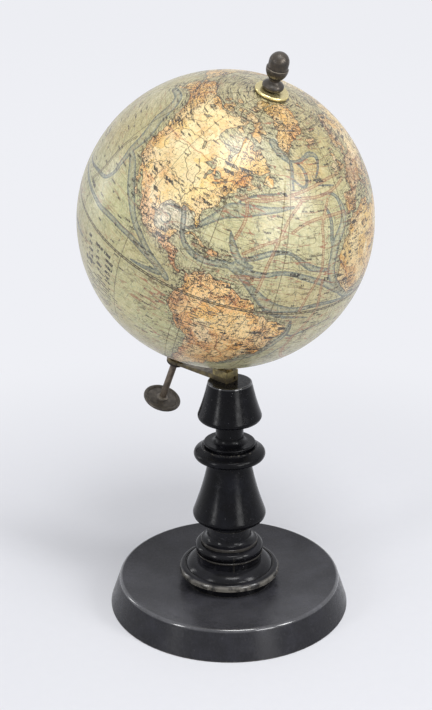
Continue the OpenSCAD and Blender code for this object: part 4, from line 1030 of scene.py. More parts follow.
# %% Currents
CURRENTS = [  # along the middle of each: longitude, latitude, width in mm
    [(-84.5,23.6,0.8), (-82.3,24.6,1.5), (-80,26.7,2.3), (-77.3,29.3,2.8), (-74.5,32,3.6),
     (-72,34.2,4.8), (-69.5,35.7,6.0), (-64,36.8,5.2), (-58,38,3.6), (-50.5,39.2,2.2), (-42,41,1.0)],
    [(-56,64,3.4), (-53,61.5,3.2), (-48,58.8,2.6), (-43.5,57.5,1.6), (-42,54.5,1.3), (-42.5,51,1.1),
     (-42,47,0.7)],
    [(-43.5,57.5,1.2), (-37.5,57.5,1.2), (-32,59,1.5), (-27,60.5,2.4), (-22,60,2.2), (-20.5,58.5,1.6),
     (-22.5,55,1.1), (-26.5,51.5,0.8)],
    [(-38,56.8,1.0), (-34.5,55,1.3), (-33,52,1.4), (-33.5,49,1.3), (-36,47.8,1.0), (-41,50.3,0.8)],
    [(-68,39.2,0.7), (-63.5,42,0.9), (-57.5,43.7,1.0), (-53,44.5,0.9), (-49,45.2,0.6)],
    [(-26,48.6,0.6), (-20,48.2,0.8), (-15,47.5,0.6)],
    [(-26,45.2,0.8), (-19.5,45.5,1.1), (-15,43.5,1.5), (-13,39.5,2.6), (-12.5,36.5,3.2),
     (-14.5,32.5,3.8), (-18,29,4.2), (-20.3,25,4.2), (-20.5,22,4.0), (-21.5,18,4.0), (-20,14,4.0),
     (-15.5,9,3.2), (-11.5,5.5,3.4), (-6.5,3.2,3.0), (0,1.5,2.4), (8,0.5,1.8)],
    [(-24,40.8,0.9), (-22,37.8,1.6), (-21.3,34.5,1.8), (-21.8,29,1.8), (-21,25,1.4)],
    [(-67.5,28.5,0.5), (-66,25.5,2.2), (-64.5,23,3.0), (-62.5,20.5,2.8), (-59.5,18.6,2.2),
     (-56,18,1.6)],
    [(-60.5,19.8,1.6), (-56.5,21,2.2), (-52.5,23,2.4), (-48.5,24.5,2.2), (-43,25,1.4), (-39.5,23.9,1.3),
     (-35.5,21.2,2.2), (-31.5,19.2,2.8), (-27,18.2,2.0), (-22,17.5,1.4)],
    [(-62,17.8,2.8), (-55.5,15.5,2.8), (-49.8,15.8,2.2), (-45,17.4,1.8), (-39.3,17.3,1.8),
     (-34.2,15.9,2.4), (-28,14,2.6), (-23.5,12.5,2.8), (-18.7,9.7,2.8), (-15,7.5,2.4)],
    [(-88.8,29.7,1.6), (-87,27,2.2), (-86,24.3,2.0), (-84.8,21,1.8), (-82.7,18.6,2.2), (-79,16.4,2.4),
     (-74.6,15.5,2.6), (-69.5,15.7,2.4), (-63.4,17,2.4), (-60,17.6,2.4)],
    [(-96,27.3,0.4), (-92.5,28.6,0.9), (-88.5,28.2,1.2)],
    [(-95,24.5,0.3), (-92.5,25.2,0.5), (-91,23.5,0.5), (-92,21.6,0.5), (-94.5,21.5,0.4),
     (-95.3,23,0.3)],
    [(-69,17,2.0), (-66,17,2.4), (-63,16.5,2.8), (-58.5,13.8,2.4), (-55,10.8,2.6), (-51.5,8.2,3.4),
     (-47.5,5,4.4), (-43,3.2,4.4), (-38,2.6,2.8), (-33,2.5,2.2), (-28,3.3,2.0), (-21.7,3.5,1.8),
     (-15,2.8,1.5), (-10,2.2,1.5), (-6,3,1.8)],
    [(-47,2.4,1.4), (-42.5,0.2,1.6), (-37.3,-0.8,1.4), (-32.5,-1.1,1.0), (-27,-1.8,0.6)],
    [(-34,-3,1.2), (-32.8,-8,2.2), (-34.5,-12,2.8), (-37,-16.5,3.0), (-39.5,-21,3.0), (-42.5,-25,3.0),
     (-47,-29,2.8), (-52,-34,2.4)],
    [(-34,-9.5,0.8), (-30,-11.5,1.1), (-26,-9.8,1.0), (-18.3,-7.2,0.8), (-12,-6.5,0.6)],
    [(-29,-17,0.6), (-32,-20,0.9), (-33,-24,0.9), (-36,-27,0.6)],
    [(-128,32.5,1.6), (-122,31,3.4), (-117.5,27.5,3.9), (-113.5,23.8,3.9), (-109.7,20.6,3.4),
     (-106.8,17.7,2.8), (-103.5,15,2.6), (-100.8,13.5,2.6), (-97.8,11.6,2.6), (-92.8,8.2,2.6),
     (-88.7,6.3,2.8), (-85,4.2,3.0), (-83.8,3.3,1.8)],
    [(-150,9.8,1.3), (-141,9.5,1.6), (-134.5,9.3,1.6), (-128.5,9.3,1.8), (-122.5,9,2.0), (-118,9.8,2.4),
     (-113,10.2,2.2), (-108.3,9.9,2.2), (-104,9.9,2.3), (-98.5,8.9,2.4), (-95.5,8,2.3), (-92,7,2.0),
     (-89,5.6,1.7), (-88,4.8,1.4)], [(-99.3,2.2,0.7), (-94,2.6,1.5), (-91,3.2,1.9), (-87.5,3.8,2.2)],
    [(-152,13,0.8), (-146,13.2,1.0), (-136,16.3,1.4), (-129.5,17.5,1.6), (-127,20,1.6), (-125.7,23,1.8),
     (-126.5,26,2.2), (-126.5,29,2.6), (-127.5,32.3,3.2), (-127.3,35.5,4.0), (-127.5,39,4.8),
     (-129.5,43,5.2), (-133,46.5,5.2), (-135,50,4.6), (-138,53.5,4.0), (-146,56.5,3.4), (-158,54,2.4)],
    [(-129,-9,1.2), (-140,-10,2.4), (-165,-12,2.4), (-180,-14,2.4)],
    [(5,-5,1.4), (8,-12,2.4), (10,-20,2.6), (14,-30,2.4), (16,-38,1.2)],
    [(40,-12,1.2), (41,-18,2.4), (38,-25,2.6), (33,-32,2.6), (26,-37,1.4)],
    [(50,-10,1.4), (65,-12,2.4), (80,-13,2.6), (95,-12,2.4), (110,-13,1.4)],
    [(125,18,1.4), (126,24,2.2), (133,31,2.8), (143,36,3.2), (155,40,3.2), (170,42,2.6), (179,43,2.0)],
    [(-20,-48,1.4), (10,-46,2.4), (40,-47,2.6), (70,-48,2.6), (100,-48,2.4), (130,-50,2.4),
     (160,-54,2.6), (179,-56,2.4)],
    [(-179,-56,2.4), (-150,-55,2.4), (-120,-54,2.6), (-95,-56,2.4), (-75,-60,2.4), (-50,-56,2.2),
     (-30,-50,1.2)], [(154,-15,1.2), (156,-25,2.4), (154,-35,2.4), (158,-42,1.2)],
]


def eased(line, rounds=2):
    """Cuts the corners of a line, so that it flows as a current does."""
    points = [np.array(p, float) for p in line]
    for _ in range(rounds):
        cut = [points[0]]
        for a, b in zip(points, points[1:]):
            cut += [a * 0.75 + b * 0.25, a * 0.25 + b * 0.75]
        points = cut + [points[-1]]
    return points


ribbon_reach, half_width = 4.0, 0.65
ribbon = np.full_like(coast, ribbon_reach)
for current in CURRENTS:
    flow = eased(current)
    for a, b in zip(flow, flow[1:]):
        at, gap, share, _, _ = near_line(a, b, ribbon_reach + max(a[2], b[2]) * half_width)
        ribbon[at] = np.minimum(ribbon[at], gap - (a[2] + (b[2] - a[2]) * share) * half_width)
print("currents:", len(CURRENTS))

# %% [markdown]
# ## Sailing routes
# Routes are thin reddish ladders. A point keeps its distance to the nearest route and how far
# along it lies, which sets the rungs.

# %% Sailing routes
ROUTES = [
    [(-60.5,22), (-57,24.5), (-53,26.8), (-47.8,29), (-44.5,30.5)],
    [(-51.5,9.3), (-50.8,13.8), (-50.3,19.3), (-48.3,26), (-47,30), (-44,37), (-38,43)],
    [(-32,1.8), (-30.5,8.2), (-28.4,12.7), (-26,18), (-26.3,23), (-26.2,28.5), (-27.2,35.3), (-22,43)],
    [(-29,-12), (-25.4,-2.5), (-23.6,1.8), (-24.8,8.8), (-25,14)],
    [(-65,26.5), (-64.2,29), (-63,33), (-63.5,38), (-66,42)],
    [(-41.8,32), (-37.5,34.8), (-31,36.8), (-21.5,37.5), (-12,37.5)],
    [(-60,42.8), (-50.5,43.6), (-36.5,44.3), (-27.5,44.5), (-12,47), (-6,49)],
    [(-62,13.2), (-57,13.8), (-52,14)], [(-70,40.5), (-58,41), (-40,46), (-20,50.5), (-8,51)],
    [(-29,-12), (-30,-22), (-20,-32), (5,-38), (40,-38), (80,-35), (115,-37)],
    [(-137,11.5), (-134,17), (-132.5,23), (-133.5,31), (-131.5,36.5)],
    [(-138,-13), (-150,-18), (-175,-28), (-180,-30)], [(-152,23), (-157,21), (-180,28)],
]
route, _, route_along = lay_lines([eased(r) for r in ROUTES], 1.5)
print("routes:", len(ROUTES))

# %% [markdown]
# ## Hair lines
# Rivers and borders are single hair lines. The distance to a line has a kink in its middle,
# which a mesh can't carry, so the side a point lies on is kept too: side times distance runs
# straight through zero, and the hair line is drawn where it does.

# %% Hair lines
def hair_lines(lines, reach, crinkle):
    drawn = [crinkled(line, closed=False, finest=0.6, amount=crinkle) for line in lines]
    far, side, _ = lay_lines(drawn, reach)
    return far, far * side


print("hair lines ready")

# %% [markdown]
# ## Rivers
# Large rivers of all continents, and for the Americas, which face the camera, many smaller ones.
# The finish draws them on land only.

# %% Rivers
RIVERS = [
    [(-89.3,29.3), (-91.2,31), (-91,33.5), (-90,35.2), (-89.3,37), (-90.3,39), (-91.3,41), (-91.2,43.5),
     (-93,45), (-95,47)],
    [(-90.3,38.8), (-94.6,39.1), (-96,41.5), (-98.5,43), (-100.5,44.5), (-101,47.3), (-104,48),
     (-108,48), (-111,47.5), (-112,45.8)],
    [(-89.2,37), (-87.5,37.9), (-85.7,38.3), (-84.5,39.1), (-82,38.8), (-80,40.5)],
    [(-91.1,33.8), (-94.5,35.4), (-98,37.3), (-102,38), (-106,38.8)],
    [(-91.5,31.5), (-94,33.5), (-98,34), (-101,34.8)],
    [(-97.2,26), (-99.5,27.6), (-101,29.7), (-104.5,29.6), (-106.5,31.8), (-107,34), (-106,37)],
    [(-114.8,32), (-114.5,35), (-112,36.2), (-110,38.2), (-107.5,39.7)],
    [(-124,46.2), (-120.5,45.8), (-119,46.5), (-118.5,48.5), (-117.5,51)],
    [(-117,46.2), (-117,44), (-114.5,42.8), (-112,43.5)],
    [(-66,49.6), (-70,47.3), (-73.5,45.5), (-76.5,44.2)],
    [(-135,69), (-132,67.5), (-128.5,65.5), (-124,63), (-120,61.5), (-116.5,61)],
    [(-111,61.2), (-111.5,58.8), (-117,57), (-121,56)],
    [(-164,62.8), (-160,62), (-156,65), (-150,65.5), (-145,66.3), (-140,64), (-135,62)],
    [(-98.8,53.2), (-103,53.5), (-107,53), (-112,53.5), (-116,52)],
    [(-92.6,57), (-96,55), (-97.8,53.8)], [(-82,52), (-86,51), (-90,50.5)],
    [(-50.5,-0.2), (-53,-2), (-57,-2.5), (-60,-3.3), (-64,-3.6), (-68,-3.2), (-71,-4), (-74.5,-4.8),
     (-77.5,-5.5)], [(-60,-3.1), (-62.5,-1), (-66,0), (-68,2.5)],
    [(-58.5,-3.5), (-61,-6), (-63.5,-9), (-66,-11)], [(-65,-3.5), (-68,-7), (-71,-9.5)],
    [(-65,-3), (-69,-1.5), (-75,0.2)], [(-55,-2.5), (-57,-6), (-58.5,-9)],
    [(-52,-1.8), (-52.5,-5), (-53.5,-10)], [(-49,-1.5), (-49,-5), (-48,-9), (-49,-14)],
    [(-45,-3), (-44.5,-6), (-46,-9)],
    [(-36.5,-10.5), (-39,-9), (-42,-9.5), (-44,-14), (-45,-18), (-44.5,-20)],
    [(-61.5,9), (-63.5,8), (-66.5,7.5), (-67.5,5), (-66,3)], [(-58.5,7), (-58.7,4), (-59.5,2)],
    [(-74.8,11), (-74.5,8.5), (-74.8,5), (-75.5,2.5)],
    [(-58.4,-34), (-60.5,-32), (-58.8,-27.5), (-54.5,-25.5), (-53,-22), (-50,-20)],
    [(-58.7,-27.3), (-57.6,-23), (-58,-19), (-57.5,-16)], [(-62.8,-39), (-66,-38.8), (-70,-37.5)],
    [(-73.5,-4.5), (-75,-8), (-73.5,-12)], [(-16.4,16), (-14,16.5), (-12,14.5), (-11,12)],
    [(6,4.5), (6.7,7.5), (5,11), (3.5,12), (0,16.5), (-3,16.8), (-6,13.5), (-9.5,10.5)],
    [(6.7,7.8), (10,8), (13,9)], [(14,13), (16,10), (18,8)],
    [(31,31.4), (31.2,29), (32.7,25), (31,22), (33,19.5), (32.5,15.5), (33,10), (31.5,5), (32.5,1)],
    [(32.5,15.5), (35,12), (37.5,11.5)],
    [(12.4,-6), (15.5,-4.3), (17.5,-1), (19,1.5), (22,2.2), (25,0.5), (26,-4), (27,-9)],
    [(36,-18.7), (33,-16.5), (28,-17), (25,-17.8), (23,-14)],
    [(17,-28.6), (21,-28.5), (25,-29), (28,-29)], [(4.3,51.9), (7,51), (8,49.5), (7.7,47.6)],
    [(-1.2,46), (0.2,47.4), (3,47), (4,45.5)],
    [(29.5,45.2), (26,44), (22,44.6), (19,47), (16,48.2), (10,48.3)],
    [(30.7,46.6), (34.5,48.5), (31,51), (31,54.5)],
    [(48,46), (45,48.7), (48,53), (49,55.5), (44,56.3), (38,57)], [(8.8,53.9), (11.5,52.5), (14.5,50)],
    [(72,66.5), (66,63), (69,61), (77,59), (84,54)], [(82.5,71.5), (87,67), (88,61), (93,56), (96,51)],
    [(127,72), (123.5,68), (129,63), (118,60), (108,55)], [(90.5,23), (88,25.2), (82,25.5), (78,29)],
    [(67.5,24.3), (70.5,29), (73,33), (78,33.5)], [(48,30.4), (44.5,33.5), (41,36.5)],
    [(121.5,31.5), (116,30), (110,30.5), (104,28.8), (99,27)],
    [(119,37.5), (113,35), (110.5,39), (104,36)], [(106.5,10), (105,15), (101,20), (99,25)],
    [(141,53), (135,48.5), (127,50), (121,53)], [(139,-35.5), (142,-34.2), (147,-36)],
    [(96.5,16.5), (95,20), (97,25)],
]
river, river_side = hair_lines(RIVERS, 1.2, 0.14)
print("rivers:", len(RIVERS))

# %% [markdown]
# ## Borders
# Borders of countries and of larger provinces. They crinkle less than rivers do.

# %% Borders
BORDERS = [
    [(-123,49), (-110,49), (-95,49), (-90,48.2), (-84.5,46.4), (-82.4,43), (-79,42.8), (-76,44.3),
     (-74.7,45), (-71,45.2), (-69,47.3), (-67.8,45.7)],
    [(-141,69.7), (-141,60.3), (-136,59.5), (-130,55)],
    [(-117.1,32.6), (-114.8,32.6), (-111,31.4), (-108.2,31.8), (-106.5,31.8)],
    [(-92.2,14.6), (-91.5,16), (-90.4,17.8), (-88.5,18)], [(-89,14), (-86,14), (-83.5,15)],
    [(-85.7,11), (-83.7,10.9)], [(-82.8,9.5), (-82.8,8.3)], [(-77.3,8.5), (-77.8,7.3)],
    [(-51.6,4.2), (-54,2.3), (-57,2), (-60,5), (-64,4), (-67,1.5), (-69.5,0), (-70,-4.3), (-73,-7.5),
     (-70,-11), (-65.5,-10), (-60,-14), (-58,-18), (-58,-22), (-54.5,-24.5), (-54,-27), (-57.5,-30),
     (-53.5,-33.7)], [(-71.5,11.8), (-73,9), (-72,7), (-67.5,6), (-67,1.5)],
    [(-60,8), (-61,6), (-60,5)], [(-57.2,6), (-58,3.5), (-57,2)], [(-54,5.7), (-54.4,3.5), (-54,2.3)],
    [(-80.3,-3.5), (-78.5,-4.8), (-75,-1), (-75.5,0.2), (-78,1.2)], [(-75,-1), (-73,-2.5), (-70,-4.3)],
    [(-69,-12.5), (-69,-17.5), (-68,-22), (-62.5,-22), (-58,-20)], [(-62.5,-22), (-58,-27)],
    [(-67.5,-23), (-69,-28), (-70,-33), (-71,-38), (-72,-44), (-72.5,-50), (-68.5,-52.3)],
    [(-1.8,43.3), (1,42.7), (3.2,42.4)], [(-8.8,41.9), (-6.5,41.8), (-7,39.5), (-7.4,37.3)],
    [(2.5,51), (6,49.5), (8,49), (7.5,47.6), (6,46.2), (7.5,44)],
    [(11,59), (12.5,62), (15,66), (20,69)], [(7.5,47.5), (13,47.5), (16,46.5)],
    [(12,50.5), (16,50.5), (19,49.5), (22,49), (26,48), (28,45.5)], [(18.5,54.5), (20,52), (19,50.3)],
    [(19.5,44.5), (26,43.8)], [(37,47), (48,45)], [(60,55), (60,68)],
    [(-8.6,27.6), (-5,30), (-1.5,32.2), (-2.2,35)], [(8.6,37), (8,33), (10,30.5)],
    [(25,31.5), (25,22), (36,22)], [(-17,21), (-12,15), (-11,12.5), (-14.5,10.8)],
    [(36,18), (38,14), (41,11.5), (43,11)],
    [(12,-17.3), (18,-17.4), (24,-17.8), (25,-22), (20,-24.7), (17,-28.5)], [(29.8,-22.3), (32,-26.5)],
    [(36,36.8), (42,37), (44.5,39)], [(44.5,37), (46,33), (48,30)], [(61.5,25.2), (61,31), (61,36)],
    [(53,37.3), (61,36), (67,37.3), (74,37)], [(66.5,25.2), (70,31), (74,37)],
    [(50,50), (60,50.8), (75,54), (87,49.2), (98,50.5), (117,49.5), (121,53), (131,48), (131,43)],
    [(74,37), (79,32), (86,28), (92,27.5), (97,28), (98,24), (105,23), (108,21.5)],
    [(92.3,21), (94,24), (97,28)], [(98,10), (99,15), (98,20), (101,21.5), (105,18), (105,11)],
    [(129,-14.9), (129,-31.7)], [(138,-17), (138,-26), (141,-26), (141,-38)],
    [(141,-29), (153.5,-28.5)], [(141,-34), (146,-36), (150,-37.4)], [(141,-2.6), (141,-9.1)],
    [(109.5,2), (114,1.5), (117.5,4.2)],
]
border, border_side = hair_lines(BORDERS, 1.6, 0.06)
print("borders:", len(BORDERS))

# %% [markdown]
# ## Mountains
# Ranges are lines too. A point keeps its distance, and near a range the finish hatches hills.

# %% Mountains
MOUNTAINS = [
    [(-150,68), (-140,67), (-134,64.5), (-128,60), (-123,56), (-118,52), (-114,48.5), (-111,44.5),
     (-106.5,40), (-105.5,36)],
    [(-128,56), (-124,52), (-121,49), (-121.7,44.5), (-120,39), (-118.2,36)],
    [(-108.5,30), (-106,26), (-103.5,22), (-99,19), (-96.5,17), (-92.5,15.5), (-86,13), (-83.5,9.8)],
    [(-153,62), (-148,63.5), (-142,61.5)], [(-100.5,27), (-99,23), (-97.5,20)],
    [(-86,34), (-82.5,36), (-79.5,38.5), (-76,41), (-71.5,44.5)], [(-69,61), (-65,58)],
    [(-73,10.5), (-73.5,7), (-76,3), (-78.5,-1), (-78,-7), (-75.5,-11.5), (-71.5,-15.5), (-68,-19),
     (-67.5,-24), (-69.5,-30), (-70.5,-35), (-71.5,-41), (-73,-47), (-72,-52)], [(-70,9), (-65,10)],
    [(-66,4), (-60,4.5), (-54,2.5)], [(-49,-26), (-45,-22), (-42,-17), (-41,-12), (-43,-8)],
    [(-49,-17), (-53,-15), (-59,-13)], [(-47,-15), (-46,-9), (-42,-7)],
    [(-9,31), (-4,33), (2,35.5), (9,36)], [(-12,11), (-8,9)], [(7,6), (14,7)], [(3,24), (9,23)],
    [(38,14), (38,8), (36,0), (34,-10)], [(31,-24), (29,-29), (24,-32.5)],
    [(18,-33), (19,-26), (15,-15)], [(-6,43), (0,42.7), (3,42.5)], [(-6,40.4), (-2,38)],
    [(6,44.5), (8,46.3), (14,47)], [(10,44), (15.5,40)], [(15,45.5), (20,42), (22,39)],
    [(17.5,49), (24,48), (26,45.5), (22.5,45)], [(9,61), (13,64), (18,68)],
    [(38,44.5), (44,42.8), (49,41)], [(58,52), (59.5,60), (66,67)],
    [(30,37), (38,38), (44,39), (48,34), (54,29)], [(68,35), (74,36), (79,31), (86,28), (95,28.5)],
    [(70,42), (80,42.5), (93,43)], [(76,36), (86,36), (98,36)], [(84,50), (90,50), (98,51), (110,54)],
    [(118,56), (130,56), (140,62)], [(76.5,9), (74.5,15), (74,20)], [(100,28), (104,32), (110,33)],
    [(118,45), (123,51)], [(99,0), (102,-3)], [(137,-4), (144,-6)],
    [(145,-17), (149,-24), (152,-30), (148,-36.5)], [(-45,62), (-35,69), (-26,72)],
    [(-38,66), (-30,69)],
]
mountain = lay_lines([crinkled(m, closed=False, finest=1.5, amount=0.1) for m in MOUNTAINS], 3.5)[0]
print("ranges:", len(MOUNTAINS))

# %% [markdown]
# ## Tints of the countries
# The countries were washed by hand with thin colours, which have browned under the varnish.
# Each entry is a place, how far its wash reaches in degrees and its colour. Every point takes
# the mean of all washes, and near ones count far more, so the borders between them stay soft.
# The sea was tinted too, and its tint has darkened unevenly, so it has a list of its own. Its two pale
# entries in the Gulf of Mexico are a painted highlight.

# %% Tints
LAND_TINTS = [
    (-98,41,10,"DED0A6"), (-95,55,10,"E0CE98"), (-115,61,9,"F2DDA4"), (-86,36,6,"F2D794"),
    (-80,43,5,"EECE94"), (-108,48,8,"EBE0BC"), (-75,57,8,"E4CC92"), (-62,53,4,"DCC48E"),
    (-68,47,3.5,"CC9A62"), (-122,42,4,"D9AE74"), (-127,53,4.5,"DDBB80"), (-135,60,5,"DFB878"),
    (-152,64,8,"DAB476"), (-112,69,4,"D0AC78"), (-112,33,5,"EBCFA4"), (-103,25,5,"F8E8D6"),
    (-98,29,3,"ECDCC2"), (-97,18,4,"F2D6BC"), (-88,15,4,"DDAA88"), (-80,8.5,3,"C88A58"),
    (-90,20,3,"E0C592"), (-97,31,5,"E8D4A0"), (-82,29,3,"E6C470"), (-40,72,13,"D6AC6C"),
    (-75,70,7,"CDB080"), (-95,74,7,"CDB484"), (-79,22,4,"DCB06C"), (-71,19,2.5,"CF945C"),
    (-104,36,5,"E6C690"), (-73,4,4,"FAC67A"), (-66,7,4,"FACA80"), (-58,4,4,"F4C47C"),
    (-78,-2,3,"D6955A"), (-75,-10,4.5,"DDA564"), (-65,-6,6,"F6CC86"), (-50,-8,7,"F8D08C"),
    (-42,-14,6,"E4B674"), (-65,-17,4,"DDA262"), (-57,-24,4,"DBA566"), (-66,-33,7,"D2A070"),
    (-70,-47,6,"CCA074"), (-71,-30,2.5,"C98A5C"), (-53,-30,4,"D2A06C"), (-5,24,9,"C29C42"),
    (-8,13,7,"BC9244"), (-6,32,5,"BA9246"), (10,27,10,"CDAE64"), (22,22,10,"E6CA86"),
    (20,5,10,"E0C486"), (25,-12,10,"E2C888"), (20,-28,7,"D2A26C"), (40,8,6,"D2A064"),
    (47,-19,4,"CC905C"), (30,28,5,"DAAA6C"), (-4,40,3.5,"78402F"), (-8,40,1.5,"AC8A50"),
    (2,47,4,"865444"), (-2,54,4,"885E46"), (-8,53,2.5,"9E8558"), (10,51,5,"A47A5E"), (13,43,3,"A47A50"),
    (15,63,6,"A88C6A"), (-19,65,3.5,"B4744C"), (24,46,6,"CDAE78"), (35,57,10,"D9C48E"),
    (60,62,14,"DFCC96"), (100,64,16,"E2D09A"), (150,65,12,"DCC78C"), (70,46,8,"D4B378"),
    (45,38,6,"C8925E"), (45,24,7,"DFC488"), (54,32,5,"D2A36C"), (66,32,4,"C89A66"), (78,22,7,"D89F7C"),
    (88,32,6,"DABF82"), (108,32,9,"E3C57C"), (105,46,8,"D6C084"), (125,46,5,"D2AE74"),
    (103,17,5,"CCA264"), (138,37,4,"BC7248"), (113,0,7,"D2A462"), (140,-5,6,"CAA872"),
    (120,-25,8,"E0C48C"), (133,-24,8,"D8AE72"), (147,-30,6,"D29C6E"), (173,-41,5,"C8906A"),
    (0,-80,12,"D8CBA6"), (120,-78,12,"D8CBA6"), (-120,-80,12,"D8CBA6"),
]
SEA_TINTS = [
    # The first two, pale, entries paint the haze of a highlight on the Gulf of Mexico
    (-93,25,5,"F2EADB"), (-86,26,3,"E9E2CF"), (-75,22,6,"C9C6A0"), (-65,30,8,"CBCBA4"),
    (-50,33,10,"CCCAA2"), (-35,36,10,"D0CCA6"), (-33,54,4,"CFB27A"), (-24,55,3,"C9AE74"),
    (-22,40,6,"C4BE94"), (-10,60,8,"B8AE7E"), (0,70,8,"BEB288"), (-60,62,6,"CFCCB0"),
    (-85,60,6,"DAD0A4"), (-48,10,9,"C6C29A"), (-35,8,8,"C8BE94"), (-30,-12,10,"B9B594"),
    (-40,-28,9,"B0AF90"), (-115,15,8,"C6C89C"), (-135,15,10,"C4C4A0"), (-140,38,12,"C6BE90"),
    (-155,45,12,"CCC6A2"), (-105,2,8,"C4C094"), (-115,-12,10,"CAC8A2"), (-98,-15,9,"C8C698"),
    (-85,-22,8,"BEC094"), (-85,-40,10,"B2B08C"), (-75,16,5,"BFBE9C"), (-64,45,5,"C9C4A0"),
    (20,-30,20,"B9B68F"), (80,-10,25,"BDB98F"), (120,-45,25,"B4B28C"), (170,0,25,"C0BC90"),
    (160,45,18,"BDB98F"), (0,-60,25,"B6B38F"), (-150,-40,25,"B6B38C"), (70,78,14,"C2B890"),
    (-150,75,12,"C4BA96"),
]
net_x = np.cos(np.radians(net_lat))[:, None] * np.cos(np.radians(net_lon))[None, :]
net_y = np.cos(np.radians(net_lat))[:, None] * np.sin(np.radians(net_lon))[None, :]
net_z = np.sin(np.radians(net_lat))[:, None] + 0 * net_x


def blended(tints):
    total = np.zeros(net_x.shape + (3,), np.float32)
    weights = np.full(net_x.shape, 1e-12, np.float32)
    for lon, lat, reach, code in tints:
        a, b = math.radians(lon), math.radians(lat)
        facing = (net_x * math.cos(b) * math.cos(a) + net_y * math.cos(b) * math.sin(a)
                  + net_z * math.sin(b))
        apart = np.degrees(np.arccos(np.clip(facing, -1, 1))) / reach
        weight = (1.0 / (0.05 + apart ** 4)).astype(np.float32)
        total += weight[..., None] * np.array(tone(code)[:3], np.float32)
        weights += weight
    return total / weights[..., None]


land_wash, sea_wash = blended(LAND_TINTS), blended(SEA_TINTS)
print("tints:", len(LAND_TINTS), "on land,", len(SEA_TINTS), "at sea")

# %% [markdown]
# ## Reading the net
# The net is read between its points, so that a piece may have its own closer or wider mesh. A
# vertex carries one number for each kind of line, and a colour for each wash.

# %% Reading the net
map_turn = 17.0
PRINTED = {"coast": coast, "ribbon": ribbon, "route": route, "route_along": route_along,
           "river": river, "river_side": river_side, "border": border, "border_side": border_side,
           "mountain": mountain, "land_wash": land_wash, "sea_wash": sea_wash}


def read_net(values, lon, lat):
    """Reads the net between its points."""
    column = (lon + 180) / net_step
    row = np.clip((lat + 90) / net_step, 0, len(net_lat) - 1.001)
    c, r = np.floor(column).astype(int), np.floor(row).astype(int)
    u, v = column - c, row - r
    if values.ndim == 3:
        u, v = u[:, None], v[:, None]
    left, right = c % turns, (c + 1) % turns
    return ((values[r, left] * (1 - u) + values[r, right] * u) * (1 - v)
            + (values[r + 1, left] * (1 - u) + values[r + 1, right] * u) * v)


def write(piece, label, values):
    """Stores one number, or one colour, for every vertex."""
    if values.ndim == 2:
        layer = piece.data.attributes.new(label, "FLOAT_COLOR", "POINT")
        full = np.concatenate([values, np.ones((len(values), 1))], axis=1)
        layer.data.foreach_set("color", full.astype(np.float32).ravel())
    else:
        layer = piece.data.attributes.new(label, "FLOAT", "POINT")
        layer.data.foreach_set("value", values.astype(np.float32))


print("each vertex of the map carries:", list(PRINTED))

# %% [markdown]
# ## Paper pieces
# A lune is made as it is drawn: one vertex is spun into a meridian arc, and the arc is spun
# through its width. A cap is spun once round. The rim is turned down to the plaster, so the
# joint between two pieces shows as a fine dark line.

# %% Paper pieces
def laid_paper(name, first, last, top, bottom, spacing, node):
    """A piece of the papered ball between two longitudes and two angles from its north pole."""
    bm = bmesh.new()
    from_pole = math.radians(top)
    start = bm.verts.new((ball_r * math.sin(from_pole), 0, ball_r * math.cos(from_pole)))
    down = max(4, round((bottom - top) / spacing))
    bmesh.ops.spin(bm, geom=[start], cent=(0, 0, 0), axis=(0, 1, 0),
                   angle=math.radians(bottom - top), steps=down, use_merge=False)
    bmesh.ops.rotate(bm, verts=bm.verts, cent=(0, 0, 0),
                     matrix=Matrix.Rotation(math.radians(first), 3, "Z"))
    round_steps = round((last - first) / spacing)
    whole = last - first > 359
    bmesh.ops.spin(bm, geom=bm.verts[:] + bm.edges[:], cent=(0, 0, 0), axis=(0, 0, 1),
                   angle=math.radians(last - first), steps=round_steps, use_merge=whole)
    bmesh.ops.remove_doubles(bm, verts=bm.verts, dist=0.003)
    bmesh.ops.recalc_face_normals(bm, faces=bm.faces)
    if sum(f.normal.dot(f.calc_center_median()) for f in list(bm.faces)[:200]) < 0:
        bmesh.ops.reverse_faces(bm, faces=bm.faces)
    rim = bmesh.ops.extrude_edge_only(bm, edges=[e for e in bm.edges if e.is_boundary])
    turned_in = [v for v in rim["geom"] if isinstance(v, bmesh.types.BMVert)]
    bmesh.ops.scale(bm, vec=(1 - paper_t / ball_r,) * 3, verts=turned_in)
    points = np.array([v.co[:] for v in bm.verts])
    lon = (np.degrees(np.arctan2(points[:, 1], points[:, 0])) - map_turn + 180) % 360 - 180
    lat = np.degrees(np.arcsin(np.clip(points[:, 2] / np.linalg.norm(points, axis=1), -1, 1)))
    bmesh.ops.transform(bm, matrix=on_axis, verts=bm.verts)
    piece = finished(name, bm, "globe", None, [node])
    for label, values in PRINTED.items():
        write(piece, label, read_net(values, lon, lat))
    return piece


print("paper helper ready, paper of", paper_t, "mm")

# %% [markdown]
# ## Gores and caps
# Twelve lunes of paper, pointed towards the poles, were pasted side by side, and a round cap
# covers their tips. The side towards the camera gets the closer net, because the printed detail
# is carried by the vertices.

# %% Gores and caps
GORES, SEEN_GORES = 12, (0, 1, 7, 8, 9, 10, 11)
fine_net, plain_net, coarse_net = 0.3, 0.45, 0.6  # degrees between the vertices
gores = []
for number in range(GORES):
    first, last = number * 360.0 / GORES, (number + 1) * 360.0 / GORES - joint_deg
    gores.append(laid_paper(f"gore_{number + 1:02d}", first, last, cap_reach, 180 - cap_reach,
                            fine_net if number in SEEN_GORES else plain_net, "paper_gores"))
cap_edge = cap_reach - joint_deg
paper_pieces = gores + [
    laid_paper("cap_north", 0, 360, pole_hole_deg, cap_edge, plain_net, "polar_cap_north"),
    laid_paper("cap_south", 0, 360, 180 - cap_edge, 180 - pole_hole_deg, coarse_net, "polar_cap_south")]
print("paper triangles:", sum(len(p.data.polygons) * 2 for p in paper_pieces))

